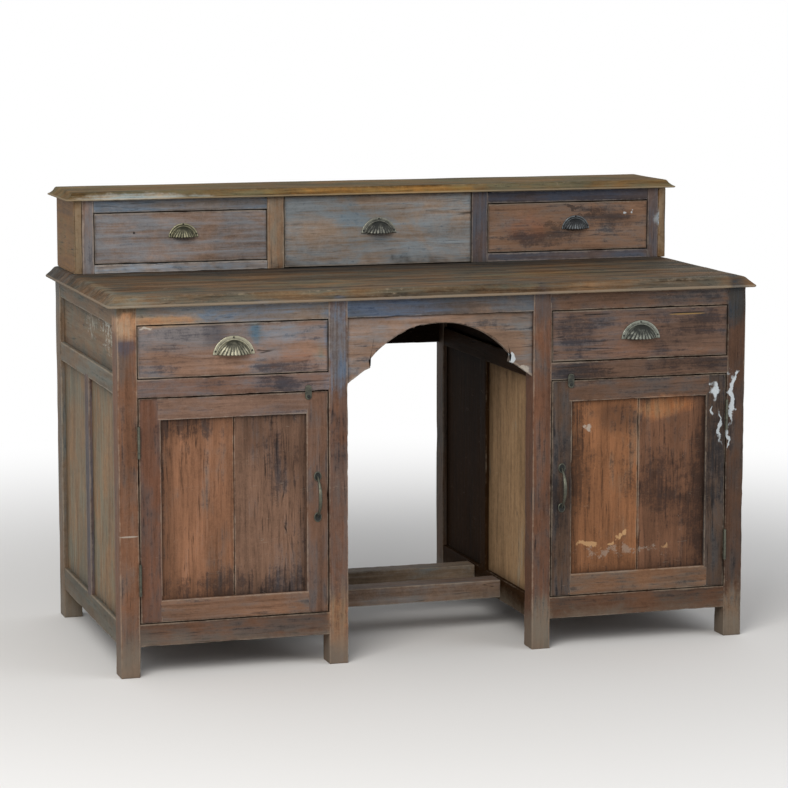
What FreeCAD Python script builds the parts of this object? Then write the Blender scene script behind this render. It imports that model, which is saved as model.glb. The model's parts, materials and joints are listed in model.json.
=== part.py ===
import FreeCAD, Part
import math
import os

import Sketcher

# A twin-pedestal study table: two framed and panelled pedestals with a drawer and a
# cupboard each, an arched kneehole between them, a moulded writing top, and a gallery of
# three drawers with a moulded top of its own along the back.
#
# X runs along the front, +Y to the back, +Z up. The origin lies on the floor, in the
# middle of the whole table, handles included. All sizes are in millimetres.
SIZES = {
    # the whole table
    "width": 1400.0,
    "depth": 666.0,
    "desk_high": 800.0,
    "top_thick": 23.0,
    # posts, which are also the feet
    "post_wide": 42.0,
    "post_deep": 50.0,
    "knee_clear": 414.0,
    "foot_high": 65.0,
    # rails between the front posts
    "rail_thick": 30.0,
    "rail_setback": 1.0,
    "top_rail_high": 38.0,
    "drawer_open_high": 112.0,
    "mid_rail_high": 39.0,
    "bottom_rail_high": 48.0,
    "tenon_thick": 10.0,
    "tenon_long": 16.0,
    "tenon_shoulder": 5.0,
    # framed side walls and pedestal backs
    "wall_rail_thick": 22.0,
    "wall_setback": 1.5,
    "wall_top_rail_high": 42.0,
    "wall_mid_rail_high": 42.0,
    "wall_bottom_rail_high": 51.0,
    "upper_panel_high": 101.0,
    "muntin_wide": 40.0,
    "panel_thick": 9.0,
    "panel_recess": 8.0,
    "groove_deep": 8.0,
    "panel_play": 1.0,
    # kneehole
    "apron_thick": 18.0,
    "apron_setback": 6.0,
    "apron_crown": 18.0,
    "arch_reach": 158.0,
    "arch_rise": 75.0,
    "notch_drop": 15.0,
    "notch_in": 2.5,
    "cusp_out": 11.0,
    "cusp_drop": 5.5,
    "apron_end_drop": 33.0,
    "back_board_high": 181.0,
    "back_board_thick": 18.0,
    "stretcher_high": 40.0,
    "stretcher_rise": 8.0,
    "front_stretcher_place": 208.0,
    "front_stretcher_deep": 52.0,
    "rear_stretcher_place": 386.0,
    "rear_stretcher_deep": 48.0,
    # cupboard floors and drawer runners
    "floor_thick": 16.0,
    "runner_thick": 20.0,
    "runner_reach": 15.0,
    "guide_high": 24.0,
    # moulded tops
    "top_left_overhang": 22.0,
    "top_right_overhang": 19.0,
    "top_front_overhang": 17.0,
    "top_lip_thick": 5.0,
    "top_shoulder_in": 17.0,
    "top_shoulder_drop": 5.0,
    "top_flat_in": 26.0,
    "lip_round": 1.5,
    "corner_clip": 6.0,
    # gallery
    "gallery_deep": 200.0,
    "gallery_high": 162.0,
    "gallery_inset": 2.0,
    "gallery_side_thick": 18.0,
    "gallery_frame_thick": 20.0,
    "gallery_shift": 4.0,
    "gallery_middle_open": 443.0,
    "gallery_post_wide": 39.0,
    "gallery_stile_wide": 26.5,
    "gallery_bottom_rail_high": 20.0,
    "gallery_top_rail_high": 28.0,
    "divider_thick": 16.0,
    "gallery_back_thick": 12.0,
    "gallery_runner_reach": 14.0,
    "gallery_top_thick": 18.0,
    "gallery_top_overhang": 20.0,
    "gallery_top_front_overhang": 16.0,
    "gallery_lip_thick": 3.5,
    "gallery_shoulder_in": 15.5,
    "gallery_shoulder_drop": 3.5,
    "gallery_flat_in": 20.0,
    # drawers
    "drawer_gap": 1.5,
    "run_clear": 0.3,
    "drawer_back_room": 55.0,
    "drawer_front_thick": 20.0,
    "drawer_side_thick": 12.0,
    "drawer_lap": 10.0,
    "drawer_headroom": 14.0,
    "drawer_bottom_thick": 6.0,
    "drawer_bottom_rise": 8.0,
    "drawer_groove": 5.0,
    "drawer_back_drop": 6.0,
    "gallery_drawer_back_room": 9.0,
    "gallery_drawer_front_thick": 16.0,
    "gallery_drawer_side_thick": 10.0,
    # cup pulls
    "pull_radius": 45.6,
    "pull_rise": 39.0,
    "pull_reach": 22.0,
    "pull_cut": 6.0,
    "middle_pull_radius": 42.0,
    "middle_pull_rise": 67.5,
    "gallery_pull_radius": 34.0,
    "gallery_pull_rise": 53.0,
    "gallery_pull_reach": 19.0,
    "gallery_pull_cut": 3.0,
    "gallery_left_pull_shift": 4.0,
    "gallery_right_pull_shift": 17.5,
    "gallery_right_pull_drop": 5.0,
    "pull_flange_wide": 9.0,
    "pull_flange_thick": 1.8,
    "pull_wall": 1.8,
    "valley_radius": 1.6,
    "valley_deep": 0.9,
    # doors
    "door_gap": 1.5,
    "door_thick": 22.0,
    "door_stile_wide": 47.0,
    "door_top_rail_high": 46.0,
    "door_bottom_rail_high": 47.0,
    "door_groove": 8.0,
    "door_panel_thick": 8.0,
    "door_panel_recess": 7.0,
    "board_seam": 0.8,
    # butt hinges
    "hinge_high": 66.0,
    "hinge_top_drop": 92.0,
    "hinge_bottom_rise": 94.0,
    "leaf_thick": 1.2,
    "leaf_wide": 16.0,
    "knuckle_radius": 3.0,
    "knuckle_clear": 0.2,
    "knuckle_gap": 0.3,
    "pin_radius": 1.5,
    "pin_clear": 0.05,
    "pin_head_radius": 2.4,
    "pin_head_thick": 1.2,
    # bow pulls
    "bow_long": 108.0,
    "bow_rise": 26.0,
    "bow_bar_radius": 3.9,
    "bow_neck_radius": 2.0,
    "bow_plate_wide": 16.5,
    "bow_plate_long": 21.0,
    "bow_plate_thick": 2.0,
    "bow_plate_rim": 2.5,
    "bow_plate_dish": 0.6,
    "bow_height": 250.0,
    "bow_right_drop": 10.0,
    # turn buttons
    "button_long": 31.0,
    "button_wide": 14.0,
    "button_thick": 2.5,
    "button_clear": 0.3,
    "button_drop": 9.0,
    "button_place": 43.0,
    "button_shank_radius": 2.0,
    "button_shank_long": 14.0,
    "button_shank_clear": 0.05,
    "button_head_radius": 3.6,
    "button_head_thick": 1.2,
}

MIDDLE_SHARE = 0.5
HINGE_THIRDS_SHARE = 1.0 / 3.0
SEAM_SHARES = (1.0 / 3.0, 2.0 / 3.0)

# Where the two arcs of a moulding pass, as shares of the way in and up along each arc
TOP_HOLLOW_SHARES = (0.55, 0.49)
GALLERY_HOLLOW_SHARES = (0.62, 0.42)
SHOULDER_SHARES = (0.42, 0.66)

# Stations along the arc of a bow pull, and how far the bar has swelled at each
BOW_STATION_SHARES = (-1.0, -0.75, -0.5, -0.25, 0.0, 0.25, 0.5, 0.75, 1.0)
BOW_SWELL_SHARES = (0.0, 0.15, 0.5, 0.85, 1.0, 0.85, 0.5, 0.15, 0.0)

VALLEYS = 10
VALLEY_FAN_DEGREES = 54.0
VALLEY_START_DEGREES = 24.0
VALLEY_SWEEP_DEGREES = 72.0

doc = FreeCAD.newDocument("study_table")
sheet = doc.addObject("Spreadsheet::Sheet", "Sizes")
for row, (name, value) in enumerate(SIZES.items(), start=1):
    sheet.set(f"A{row}", name)
    sheet.set(f"B{row}", str(value))
    sheet.setAlias(f"B{row}", name)
doc.recompute()


class Size:
    """A length that follows the sheet: its value now, and the expression that gives it."""

    def __init__(self, value, text):
        self.value = value
        self.text = text

    def __add__(self, other):
        other = as_size(other)
        return Size(self.value + other.value, f"({self.text} + {other.text})")

    def __sub__(self, other):
        other = as_size(other)
        return Size(self.value - other.value, f"({self.text} - {other.text})")

    def __mul__(self, other):
        other = as_size(other)
        return Size(self.value * other.value, f"({self.text} * {other.text})")

    def __truediv__(self, other):
        other = as_size(other)
        return Size(self.value / other.value, f"({self.text} / {other.text})")

    def __neg__(self):
        return Size(-self.value, f"(0 - {self.text})")

    def __radd__(self, other):
        return as_size(other) + self

    def __rsub__(self, other):
        return as_size(other) - self

    def __rmul__(self, other):
        return as_size(other) * self


def as_size(thing):
    """Leaves a size as it is and makes one of a plain number."""
    return thing if isinstance(thing, Size) else Size(float(thing), f"({float(thing)!r})")


class Sheet:
    """Gives each size of the sheet by its name."""

    def __getattr__(self, name):
        return Size(SIZES[name], f"Sizes.{name}")


s = Sheet()


# Places that several pieces share, measured from the front faces of the posts
top_low = s.desk_high - s.top_thick
knee = s.knee_clear / 2
inner = knee + s.post_wide
half_width = s.width / 2
outer = half_width - s.post_wide
back_post_front = s.depth - s.post_deep
face = s.rail_setback
door_low = s.foot_high + s.bottom_rail_high
top_rail_low = top_low - s.top_rail_high
drawer_low = top_rail_low - s.drawer_open_high
door_high = drawer_low - s.mid_rail_high
wall_inside = s.wall_setback + s.wall_rail_thick
gallery_front = s.depth - s.gallery_deep
gallery_top_low = s.desk_high + s.gallery_high
gallery_half = half_width - s.gallery_inset
middle_y = (s.depth + face - s.bow_rise) / 2

SIDES = {"left": -1, "right": 1}


# Small helpers for blocks, joints and outlines
def bind(item, **sizes):
    """Ties properties of a feature to expressions on the sheet."""
    for name, size in sizes.items():
        item.setExpression(name, as_size(size).text)


def place(item, x, y, z):
    """Puts a feature's own origin at a point measured from the front faces of the posts."""
    bind(item, **{"Placement.Base.x": x, "Placement.Base.y": y - middle_y, "Placement.Base.z": z})


def turn_to(item, rotation):
    """Gives a feature its first rotation; its place is bound later."""
    item.Placement = FreeCAD.Placement(FreeCAD.Vector(), rotation)


def span(first, second):
    """The two ends in rising order, so that mirrored pieces can share one formula."""
    return (first, second) if first.value <= second.value else (second, first)


def block(name, x, y, z):
    """A rectangular block between pairs of places along X, Y and Z."""
    (x0, x1), (y0, y1), (z0, z1) = span(*x), span(*y), span(*z)
    item = doc.addObject("Part::Box", name)
    bind(item, Length=x1 - x0, Width=y1 - y0, Height=z1 - z0)
    place(item, x0, y0, z0)
    return item


def cut(name, base, tools):
    """The base less all the tools."""
    item = doc.addObject("Part::Cut", name)
    item.Base = base
    item.Tool = tools[0] if len(tools) == 1 else group(name + "_tools", tools)
    return item


def common(name, base, tool):
    """What two shapes have in common."""
    item = doc.addObject("Part::Common", name)
    item.Base = base
    item.Tool = tool
    return item


def fuse(name, pieces):
    """Several touching shapes as one piece."""
    item = doc.addObject("Part::MultiFuse", name)
    item.Shapes = pieces
    item.Refine = True
    return item


def group(name, pieces):
    """Several shapes kept apart under one name."""
    item = doc.addObject("Part::Compound", name)
    item.Links = pieces
    return item


def cylinder(name, radius, length, x, y, z, axis):
    """A round bar from a point along X, Y or Z."""
    item = doc.addObject("Part::Cylinder", name)
    turns = {"x": ((0, 1, 0), 90), "y": ((1, 0, 0), -90), "z": ((0, 0, 1), 0)}
    direction, degrees = turns[axis]
    turn_to(item, FreeCAD.Rotation(FreeCAD.Vector(*direction), degrees))
    bind(item, Radius=radius, Height=length)
    place(item, x, y, z)
    return item


def new_sketch(body, name, plane):
    """A sketch on one of a body's own origin planes."""
    sketch = body.newObject("Sketcher::SketchObject", name)
    planes = [item for item in body.Origin.OriginFeatures if item.Role == plane]
    sketch.AttachmentSupport = [(planes[0], "")]
    sketch.MapMode = "FlatFace"
    return sketch


def hold(sketch, geometry, point, corner):
    """Ties one point of a sketch to the sheet, across and up from the sketch's origin."""
    for kind, size in zip(("DistanceX", "DistanceY"), corner):
        index = sketch.addConstraint(Sketcher.Constraint(kind, -1, 1, geometry, point, size.value))
        sketch.setExpression(f"Constraints[{index}]", size.text)


def vector(corner):
    return FreeCAD.Vector(corner[0].value, corner[1].value, 0)


def trace(sketch, corners):
    """Closes an outline. Each corner is (across, up), or (through, corner) where the side that
    leads to it is an arc through the point named first."""
    sides = [entry if isinstance(entry[0], tuple) else (None, entry) for entry in corners]
    points = [tuple(as_size(part) for part in point) for through, point in sides]
    ends = []
    for index, (through, point) in enumerate(sides):
        start, end = vector(points[index - 1]), vector(points[index])
        if through is None:
            side = sketch.addGeometry(Part.LineSegment(start, end), False)
        else:
            through = tuple(as_size(part) for part in through)
            half_way = vector(through)
            clockwise = (half_way - start).cross(end - half_way).z < 0
            arc = Part.Arc(end, half_way, start) if clockwise else Part.Arc(start, half_way, end)
            side = sketch.addGeometry(arc, False)
            mark = sketch.addGeometry(Part.Point(half_way), True)
            hold(sketch, mark, 1, through)
            sketch.addConstraint(Sketcher.Constraint("PointOnObject", mark, 1, side))
        near = sketch.Geometry[side].StartPoint.distanceToPoint(start)
        far = sketch.Geometry[side].EndPoint.distanceToPoint(start)
        first, last = (1, 2) if near < far else (2, 1)
        hold(sketch, side, last, points[index])
        ends.append((side, first, last))
    for index, (side, first, last) in enumerate(ends):
        before = ends[index - 1]
        sketch.addConstraint(Sketcher.Constraint("Coincident", before[0], before[2], side, first))


def padded(name, plane, corners, thick):
    """A body with one outline padded to a thickness."""
    body = doc.addObject("PartDesign::Body", name)
    sketch = new_sketch(body, name + "_outline", plane)
    trace(sketch, corners)
    pad = body.newObject("PartDesign::Pad", name + "_pad")
    pad.Profile = sketch
    bind(pad, Length=thick)
    return body


# Joints: every tenon is kept with the post that takes it, so that post gets the same mortise
POSTS = [f"{row}_post_{side}_{line}" for row in ("front", "back")
         for side in SIDES for line in ("outer", "inner")]
sockets = {name: [] for name in POSTS}
nodes = {}


def tenoned_rail(name, x, y, z, posts):
    """A rail along X between two posts, with a centred tenon at each end."""
    low, high = span(*x)
    bottom, top = span(*z)
    middle = (y[0] + y[1]) / 2
    thick = (middle - s.tenon_thick / 2, middle + s.tenon_thick / 2)
    high_part = (bottom + s.tenon_shoulder, top - s.tenon_shoulder)
    ends = [block(name + "_tenon_a", (low - s.tenon_long, low), thick, high_part),
            block(name + "_tenon_b", (high, high + s.tenon_long), thick, high_part)]
    for post, end in zip(posts, ends):
        sockets[post].append(end)
    return fuse(name, [block(name + "_bar", x, y, z)] + ends)


def pedestal_x(side):
    """The opening between a pedestal's posts, from the kneehole outwards."""
    return (SIDES[side] * inner, SIDES[side] * outer)


def post_pair(row, side):
    """The names of a pedestal's two posts in a row, from left to right."""
    lines = ("outer", "inner") if side == "left" else ("inner", "outer")
    return [f"{row}_post_{side}_{line}" for line in lines]


def front_rails(side):
    """The rails above the drawer, between drawer and door, and below the door."""
    y = (face, face + s.rail_thick)
    levels = {"top": (top_rail_low, top_low), "middle": (door_high, drawer_low),
              "bottom": (s.foot_high, door_low)}
    rails = [tenoned_rail(f"front_{level}_rail_{side}", pedestal_x(side), y, z, post_pair("front", side))
             for level, z in levels.items()]
    nodes[f"front_rails_{side}"] = group(f"front_rails_{side}", rails)


def kneehole_rail():
    """The rail under the writing top, across the kneehole."""
    nodes["kneehole_rail"] = tenoned_rail(
        "kneehole_rail", (-knee, knee), (face, face + s.rail_thick), (top_rail_low, top_low),
        ("front_post_left_inner", "front_post_right_inner"))


def kneehole_apron():
    """The arched board under the kneehole rail. Each side of the arch ends in a small notch
    and a cusp, then slopes down to the post."""
    crown = -s.apron_crown
    spring = crown - s.arch_rise
    notch = spring - s.notch_drop
    radius = (s.arch_reach * s.arch_reach + s.arch_rise * s.arch_rise) / (2 * s.arch_rise)
    shoulder = s.arch_reach * MIDDLE_SHARE
    sag = radius.value - math.sqrt(radius.value ** 2 - shoulder.value ** 2)
    drop = Size(sag, f"({radius.text} - sqrt({radius.text} ^ 2 - {shoulder.text} ^ 2))")
    half = [
        ((s.arch_reach, spring)),
        ((s.arch_reach - s.notch_in, notch)),
        ((s.arch_reach + s.cusp_out, notch - s.cusp_drop)),
        ((knee, notch - s.apron_end_drop)),
    ]
    left = [(-across, up) for across, up in reversed(half)]
    arch_left = ((-shoulder, crown - drop), (0, crown))
    arch_right = ((shoulder, crown - drop), half[0])
    corners = [(knee, 0), (-knee, 0)] + left + [arch_left, arch_right] + half[1:]
    body = padded("kneehole_apron", "XZ_Plane", corners, s.apron_thick)
    place(body, 0, face + s.apron_setback + s.apron_thick, top_rail_low)
    nodes["kneehole_apron"] = body


def kneehole_back_board():
    """The deep board across the back of the kneehole, with a tongue in each post."""
    rear = s.depth - s.wall_setback
    y = (rear - s.back_board_thick, rear)
    tongue_y = (rear - s.panel_recess - s.panel_thick / 2, rear - s.panel_recess + s.panel_thick / 2)
    z = (top_low - s.back_board_high, top_low)
    tongues = []
    for side, sign in SIDES.items():
        tongue_x = (sign * knee, sign * (knee + s.groove_deep))
        tongue = block(f"back_board_tongue_{side}", tongue_x, tongue_y, z)
        sockets[f"back_post_{side}_inner"].append(tongue)
        tongues.append(tongue)
    board = block("back_board_blank", (-knee, knee), y, z)
    nodes["kneehole_back_board"] = fuse("kneehole_back_board", [board] + tongues)


def kneehole_stretchers():
    """Two low stretchers between the inner walls."""
    reach = knee + s.wall_setback
    low = s.foot_high + s.stretcher_rise
    bars = []
    for name, start, deep in (("front", s.front_stretcher_place, s.front_stretcher_deep),
                              ("rear", s.rear_stretcher_place, s.rear_stretcher_deep)):
        bars.append(block(f"{name}_stretcher", (-reach, reach), (start, start + deep),
                          (low, low + s.stretcher_high)))
    nodes["kneehole_stretchers"] = group("kneehole_stretchers", bars)


# Framed walls: grooved rails with stub tongues, loose panels between them
class Wall:
    """A framed wall between two posts. It runs along X or Y, and inward points from its show
    face into the pedestal."""

    def __init__(self, name, side, run, along, show_face, inward, muntins):
        self.name = name
        self.side = side
        self.run = run
        self.along = along
        self.muntins = muntins
        front = show_face + inward * s.wall_setback
        self.rail_across = (front, front + inward * s.wall_rail_thick)
        panel = front + inward * s.panel_recess
        self.panel_across = (panel, panel + inward * s.panel_thick)

    def slab(self, name, along, across, up):
        """A block in the wall's own directions."""
        x, y = (along, across) if self.run == "x" else (across, along)
        return block(f"{self.name}_{self.side}_{name}", x, y, up)

    def groove(self, name, along, up):
        return self.slab(name, along, self.panel_across, up)

    def rail(self, level, up, grooves):
        """A rail with a stub tongue at each end and a groove in each edge that holds a panel."""
        start, end = self.along
        reach = (start - s.groove_deep, end + s.groove_deep)
        tongue = self.groove(f"{level}_tongue", reach, up)
        bar = self.slab(f"{level}_bar", self.along, self.rail_across, up)
        rail = fuse(f"{self.name}_{level}_rail_{self.side}", [bar, tongue])
        low, high = up
        bands = {"low": (low, low + s.groove_deep), "high": (high - s.groove_deep, high)}
        tools = [self.groove(f"{level}_groove_{edge}", reach, bands[edge]) for edge in grooves]
        return cut(f"{self.name}_{level}_rail_grooved_{self.side}", rail, tools)

    def panel(self, name, along, up):
        """A panel that stands in its grooves with a little play at their bottoms."""
        reach = s.groove_deep - s.panel_play
        return self.groove(name, (along[0] - reach, along[1] + reach), (up[0] - reach, up[1] + reach))

    def muntin(self, index, centre, up):
        """An upright between two rails, tongued into both and grooved for the panels beside it."""
        along = (centre - s.muntin_wide / 2, centre + s.muntin_wide / 2)
        tall = (up[0] - s.groove_deep, up[1] + s.groove_deep)
        bar = self.slab(f"muntin_{index}_bar", along, self.rail_across, up)
        tongue = self.groove(f"muntin_{index}_tongue", along, tall)
        grooves = [self.groove(f"muntin_{index}_groove_a", (along[0], along[0] + s.groove_deep), tall),
                   self.groove(f"muntin_{index}_groove_b", (along[1] - s.groove_deep, along[1]), tall)]
        name = f"{self.name}_muntin_{index}_{self.side}"
        return cut(name, fuse(name + "_blank", [bar, tongue]), grooves)

    def build(self):
        """Rails and muntins in one node, panels in another."""
        bottom = (s.foot_high, s.foot_high + s.wall_bottom_rail_high)
        top = (top_low - s.wall_top_rail_high, top_low)
        middle_high = top[0] - s.upper_panel_high
        middle = (middle_high - s.wall_mid_rail_high, middle_high)
        rails = [self.rail("bottom", bottom, ["high"]), self.rail("middle", middle, ["low", "high"]),
                 self.rail("top", top, ["low"])]
        panels = [self.panel("upper_panel", self.along, (middle[1], top[0]))]
        edges = [self.along[0]]
        for index, centre in enumerate(self.muntins):
            rails.append(self.muntin(index, centre, (bottom[1], middle[0])))
            edges += [centre - s.muntin_wide / 2, centre + s.muntin_wide / 2]
        edges.append(self.along[1])
        for index in range(0, len(edges), 2):
            panels.append(self.panel(f"lower_panel_{index}", (edges[index], edges[index + 1]),
                                     (bottom[1], middle[0])))
        return rails, panels

    def post_groove(self, post, at_start):
        """The groove that this wall runs into on one of its posts."""
        start, end = self.along
        along = (start - s.groove_deep, start) if at_start else (end, end + s.groove_deep)
        groove = self.groove("groove_of_" + post, along, (s.foot_high, top_low))
        sockets[post].append(groove)


def side_wall(kind, side):
    """The outer or inner wall of a pedestal, between its front and back post."""
    sign = SIDES[side]
    show, inward = (sign * half_width, -sign) if kind == "outer" else (sign * knee, sign)
    along = (s.post_deep, back_post_front)
    centre = along[0] + (along[1] - along[0]) * MIDDLE_SHARE
    wall = Wall(f"{kind}_wall", side, "y", along, show, inward, [centre])
    rails, panels = wall.build()
    wall.post_groove(f"front_post_{side}_{kind}", True)
    wall.post_groove(f"back_post_{side}_{kind}", False)
    nodes[f"{kind}_wall_rails_{side}"] = group(f"{kind}_wall_rails_{side}", rails)
    nodes[f"{kind}_wall_panels_{side}"] = group(f"{kind}_wall_panels_{side}", panels)


def pedestal_backs():
    """The framed back of each pedestal."""
    rails, panels = [], []
    for side in SIDES:
        along = span(*pedestal_x(side))
        wall = Wall("back_wall", side, "x", along, s.depth, -1, [])
        more_rails, more_panels = wall.build()
        rails += more_rails
        panels += more_panels
        left, right = post_pair("back", side)
        wall.post_groove(left, True)
        wall.post_groove(right, False)
    nodes["back_rails"] = group("back_rails", rails)
    nodes["back_panels"] = group("back_panels", panels)


def cupboard_floors():
    """A floor board in each pedestal, notched round the four posts."""
    boards = []
    for side, sign in SIDES.items():
        x = (sign * (knee + wall_inside), sign * (half_width - wall_inside))
        y = (face + s.rail_thick, s.depth - wall_inside)
        z = (door_low - s.floor_thick, door_low)
        blank = block(f"floor_blank_{side}", x, y, z)
        notches = []
        for line, edges in (("inner", (x[0], sign * inner)), ("outer", (sign * outer, x[1]))):
            notches.append(block(f"floor_notch_front_{line}_{side}", edges, (y[0], s.post_deep), z))
            notches.append(block(f"floor_notch_back_{line}_{side}", edges, (back_post_front, y[1]), z))
        boards.append(cut(f"cupboard_floor_{side}", blank, notches))
    nodes["cupboard_floors"] = group("cupboard_floors", boards)


def drawer_runners():
    """Strips that carry the drawers, with a guide beside each pedestal drawer."""
    strips = []
    y = (s.post_deep, back_post_front)
    for side, sign in SIDES.items():
        for line, wall, edge, turn in (("inner", knee + wall_inside, inner, 1),
                                       ("outer", half_width - wall_inside, outer, -1)):
            run = (sign * wall, sign * (edge + turn * s.runner_reach))
            guide = (sign * wall, sign * edge)
            strips.append(block(f"runner_{line}_{side}", run, y, (drawer_low - s.runner_thick, drawer_low)))
            strips.append(block(f"guide_{line}_{side}", guide, y, (drawer_low, drawer_low + s.guide_high)))
    y = (gallery_front + s.gallery_frame_thick, s.depth - s.gallery_back_thick)
    z = (s.desk_high, s.desk_high + s.gallery_bottom_rail_high)
    for side in SIDES:
        near, far = span(*gallery_opening(side))
        end = gallery_end_x(side)[0]
        partition = divider_x(side)
        low_wall, high_wall = (end, partition[0]) if side == "left" else (partition[1], end)
        strips.append(block(f"gallery_runner_a_{side}", (low_wall, near + s.gallery_runner_reach), y, z))
        strips.append(block(f"gallery_runner_b_{side}", (far - s.gallery_runner_reach, high_wall), y, z))
    nodes["drawer_runners"] = group("drawer_runners", strips)


def posts():
    """The eight posts, each with the mortises and grooves that its rails and panels need."""
    rows = {"front": (as_size(0), s.post_deep), "back": (back_post_front, s.depth)}
    lines = {"outer": (outer, half_width), "inner": (knee, inner)}
    for name in POSTS:
        row, side, line = name.split("_post_")[0], name.split("_")[2], name.split("_")[3]
        x = tuple(SIDES[side] * edge for edge in lines[line])
        blank = block(name + "_blank", x, rows[row], (as_size(0), top_low))
        nodes[name] = cut(name, blank, sockets[name])


# Moulded tops
class Moulding:
    """The sizes of a moulded edge: a thin round lip, a hollow slope and a soft shoulder."""

    def __init__(self, thick, lip, shoulder_in, shoulder_drop, flat_in, hollow):
        self.thick = thick
        self.lip = lip
        self.shoulder = (shoulder_in, thick - shoulder_drop)
        self.flat = (flat_in, thick)
        self.hollow = hollow


def between(start, end, shares):
    """A point part of the way in and part of the way up from one point to another."""
    return tuple(a + (b - a) * share for a, b, share in zip(start, end, shares))


def top_profile(front, rear, edge, both_sides):
    """The section of a moulded board. The moulding is on the first edge, or on both."""
    lip_top = (s.lip_round, edge.lip)
    rising = [
        ((0, edge.lip / 2), lip_top),
        (between(lip_top, edge.shoulder, edge.hollow), edge.shoulder),
        (between(edge.shoulder, edge.flat, SHOULDER_SHARES), edge.flat),
    ]

    def shifted(point, end, turn):
        return (end + turn * as_size(point[0]), as_size(point[1]))

    corners = [(front + s.lip_round, as_size(0))]
    for through, point in rising:
        corners.append((shifted(through, front, 1), shifted(point, front, 1)))
    if not both_sides:
        return corners + [(rear, edge.thick), (rear, as_size(0))]
    corners.append(shifted(edge.flat, rear, -1))
    starts = [(s.lip_round, 0)] + [point for through, point in rising]
    for start, (through, point) in reversed(list(zip(starts, rising))):
        corners.append((shifted(through, rear, -1), shifted(start, rear, -1)))
    return corners


def moulded_top(name, x, front, low, edge):
    """A board moulded along its front and both ends, square at the back: the part that a
    section run along the front, a section run along the ends and the board's plan, which has
    clipped corners in front, have in common."""
    left, right = x
    front_section = top_profile(front, s.depth, edge, False)
    along_front = padded(name + "_front_run", "YZ_Plane", front_section, right - left)
    place(along_front, left, 0, low)
    end_section = top_profile(left, right, edge, True)
    along_ends = padded(name + "_end_run", "XZ_Plane", end_section, s.depth - front)
    place(along_ends, 0, s.depth, low)
    clip = s.corner_clip
    plan = padded(name + "_plan", "XY_Plane",
                  [(left, s.depth), (left, front + clip), (left + clip, front),
                   (right - clip, front), (right, front + clip), (right, s.depth)], edge.thick)
    place(plan, 0, 0, low)
    return common(name, common(name + "_runs", along_front, along_ends), plan)


def main_top():
    """The writing top, glued up edge to edge from three boards."""
    x = (-(half_width + s.top_left_overhang), half_width + s.top_right_overhang)
    front = -s.top_front_overhang
    edge = Moulding(s.top_thick, s.top_lip_thick, s.top_shoulder_in, s.top_shoulder_drop,
                    s.top_flat_in, TOP_HOLLOW_SHARES)
    blank = moulded_top("main_top_blank", x, front, top_low, edge)
    seams = [front] + [front + (s.depth - front) * share for share in SEAM_SHARES] + [s.depth]
    boards = []
    for index, edges in enumerate(zip(seams, seams[1:])):
        strip = block(f"main_top_strip_{index}", x, edges, (top_low, s.desk_high))
        boards.append(common(f"main_top_board_{index}", blank, strip))
    nodes["main_top"] = group("main_top", boards)


def gallery_top():
    """The one board that covers the gallery."""
    reach = gallery_half + s.gallery_top_overhang
    edge = Moulding(s.gallery_top_thick, s.gallery_lip_thick, s.gallery_shoulder_in,
                    s.gallery_shoulder_drop, s.gallery_flat_in, GALLERY_HOLLOW_SHARES)
    nodes["gallery_top"] = moulded_top(
        "gallery_top", (s.gallery_shift - reach, s.gallery_shift + reach),
        gallery_front - s.gallery_top_front_overhang, gallery_top_low, edge)


# Gallery
def gallery_opening(side):
    """The opening of an outer gallery drawer, from its post outwards."""
    near = s.gallery_shift + SIDES[side] * (s.gallery_middle_open / 2 + s.gallery_post_wide)
    return near, gallery_end_x(side)[0] - SIDES[side] * s.gallery_stile_wide


def gallery_end_x(side):
    """The inner and outer face of an end board."""
    outside = s.gallery_shift + SIDES[side] * gallery_half
    return outside - SIDES[side] * s.gallery_side_thick, outside


def divider_x(side):
    """The faces of a partition, which stands behind the middle of a gallery post."""
    centre = s.gallery_shift + SIDES[side] * (s.gallery_middle_open + s.gallery_post_wide) / 2
    return (centre - s.divider_thick / 2, centre + s.divider_thick / 2)


def gallery():
    """End boards, front frame, partitions and back board of the gallery."""
    z = (s.desk_high, gallery_top_low)
    y = (gallery_front, gallery_front + s.gallery_frame_thick)
    behind = (y[1], s.depth - s.gallery_back_thick)
    ends, frame, partitions = [], [], []
    for side, sign in SIDES.items():
        near, far = gallery_opening(side)
        end_x = gallery_end_x(side)
        ends.append(block(f"gallery_end_{side}", end_x, (gallery_front, s.depth), z))
        frame.append(block(f"gallery_stile_{side}", (far, end_x[0]), y, z))
        post_edge = near - sign * s.gallery_post_wide
        frame.append(block(f"gallery_post_{side}", (post_edge, near), y, z))
        frame.append(block(f"gallery_bottom_rail_{side}", (near, far), y,
                           (z[0], z[0] + s.gallery_bottom_rail_high)))
        frame.append(block(f"gallery_top_rail_{side}", (near, far), y,
                           (z[1] - s.gallery_top_rail_high, z[1])))
        partitions.append(block(f"gallery_partition_{side}", divider_x(side), behind, z))
    nodes["gallery_ends"] = group("gallery_ends", ends)
    nodes["gallery_frame"] = group("gallery_frame", frame)
    nodes["gallery_partitions"] = group("gallery_partitions", partitions)
    nodes["gallery_back"] = block("gallery_back", (gallery_end_x("left")[0], gallery_end_x("right")[0]),
                                  (s.depth - s.gallery_back_thick, s.depth), z)


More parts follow.
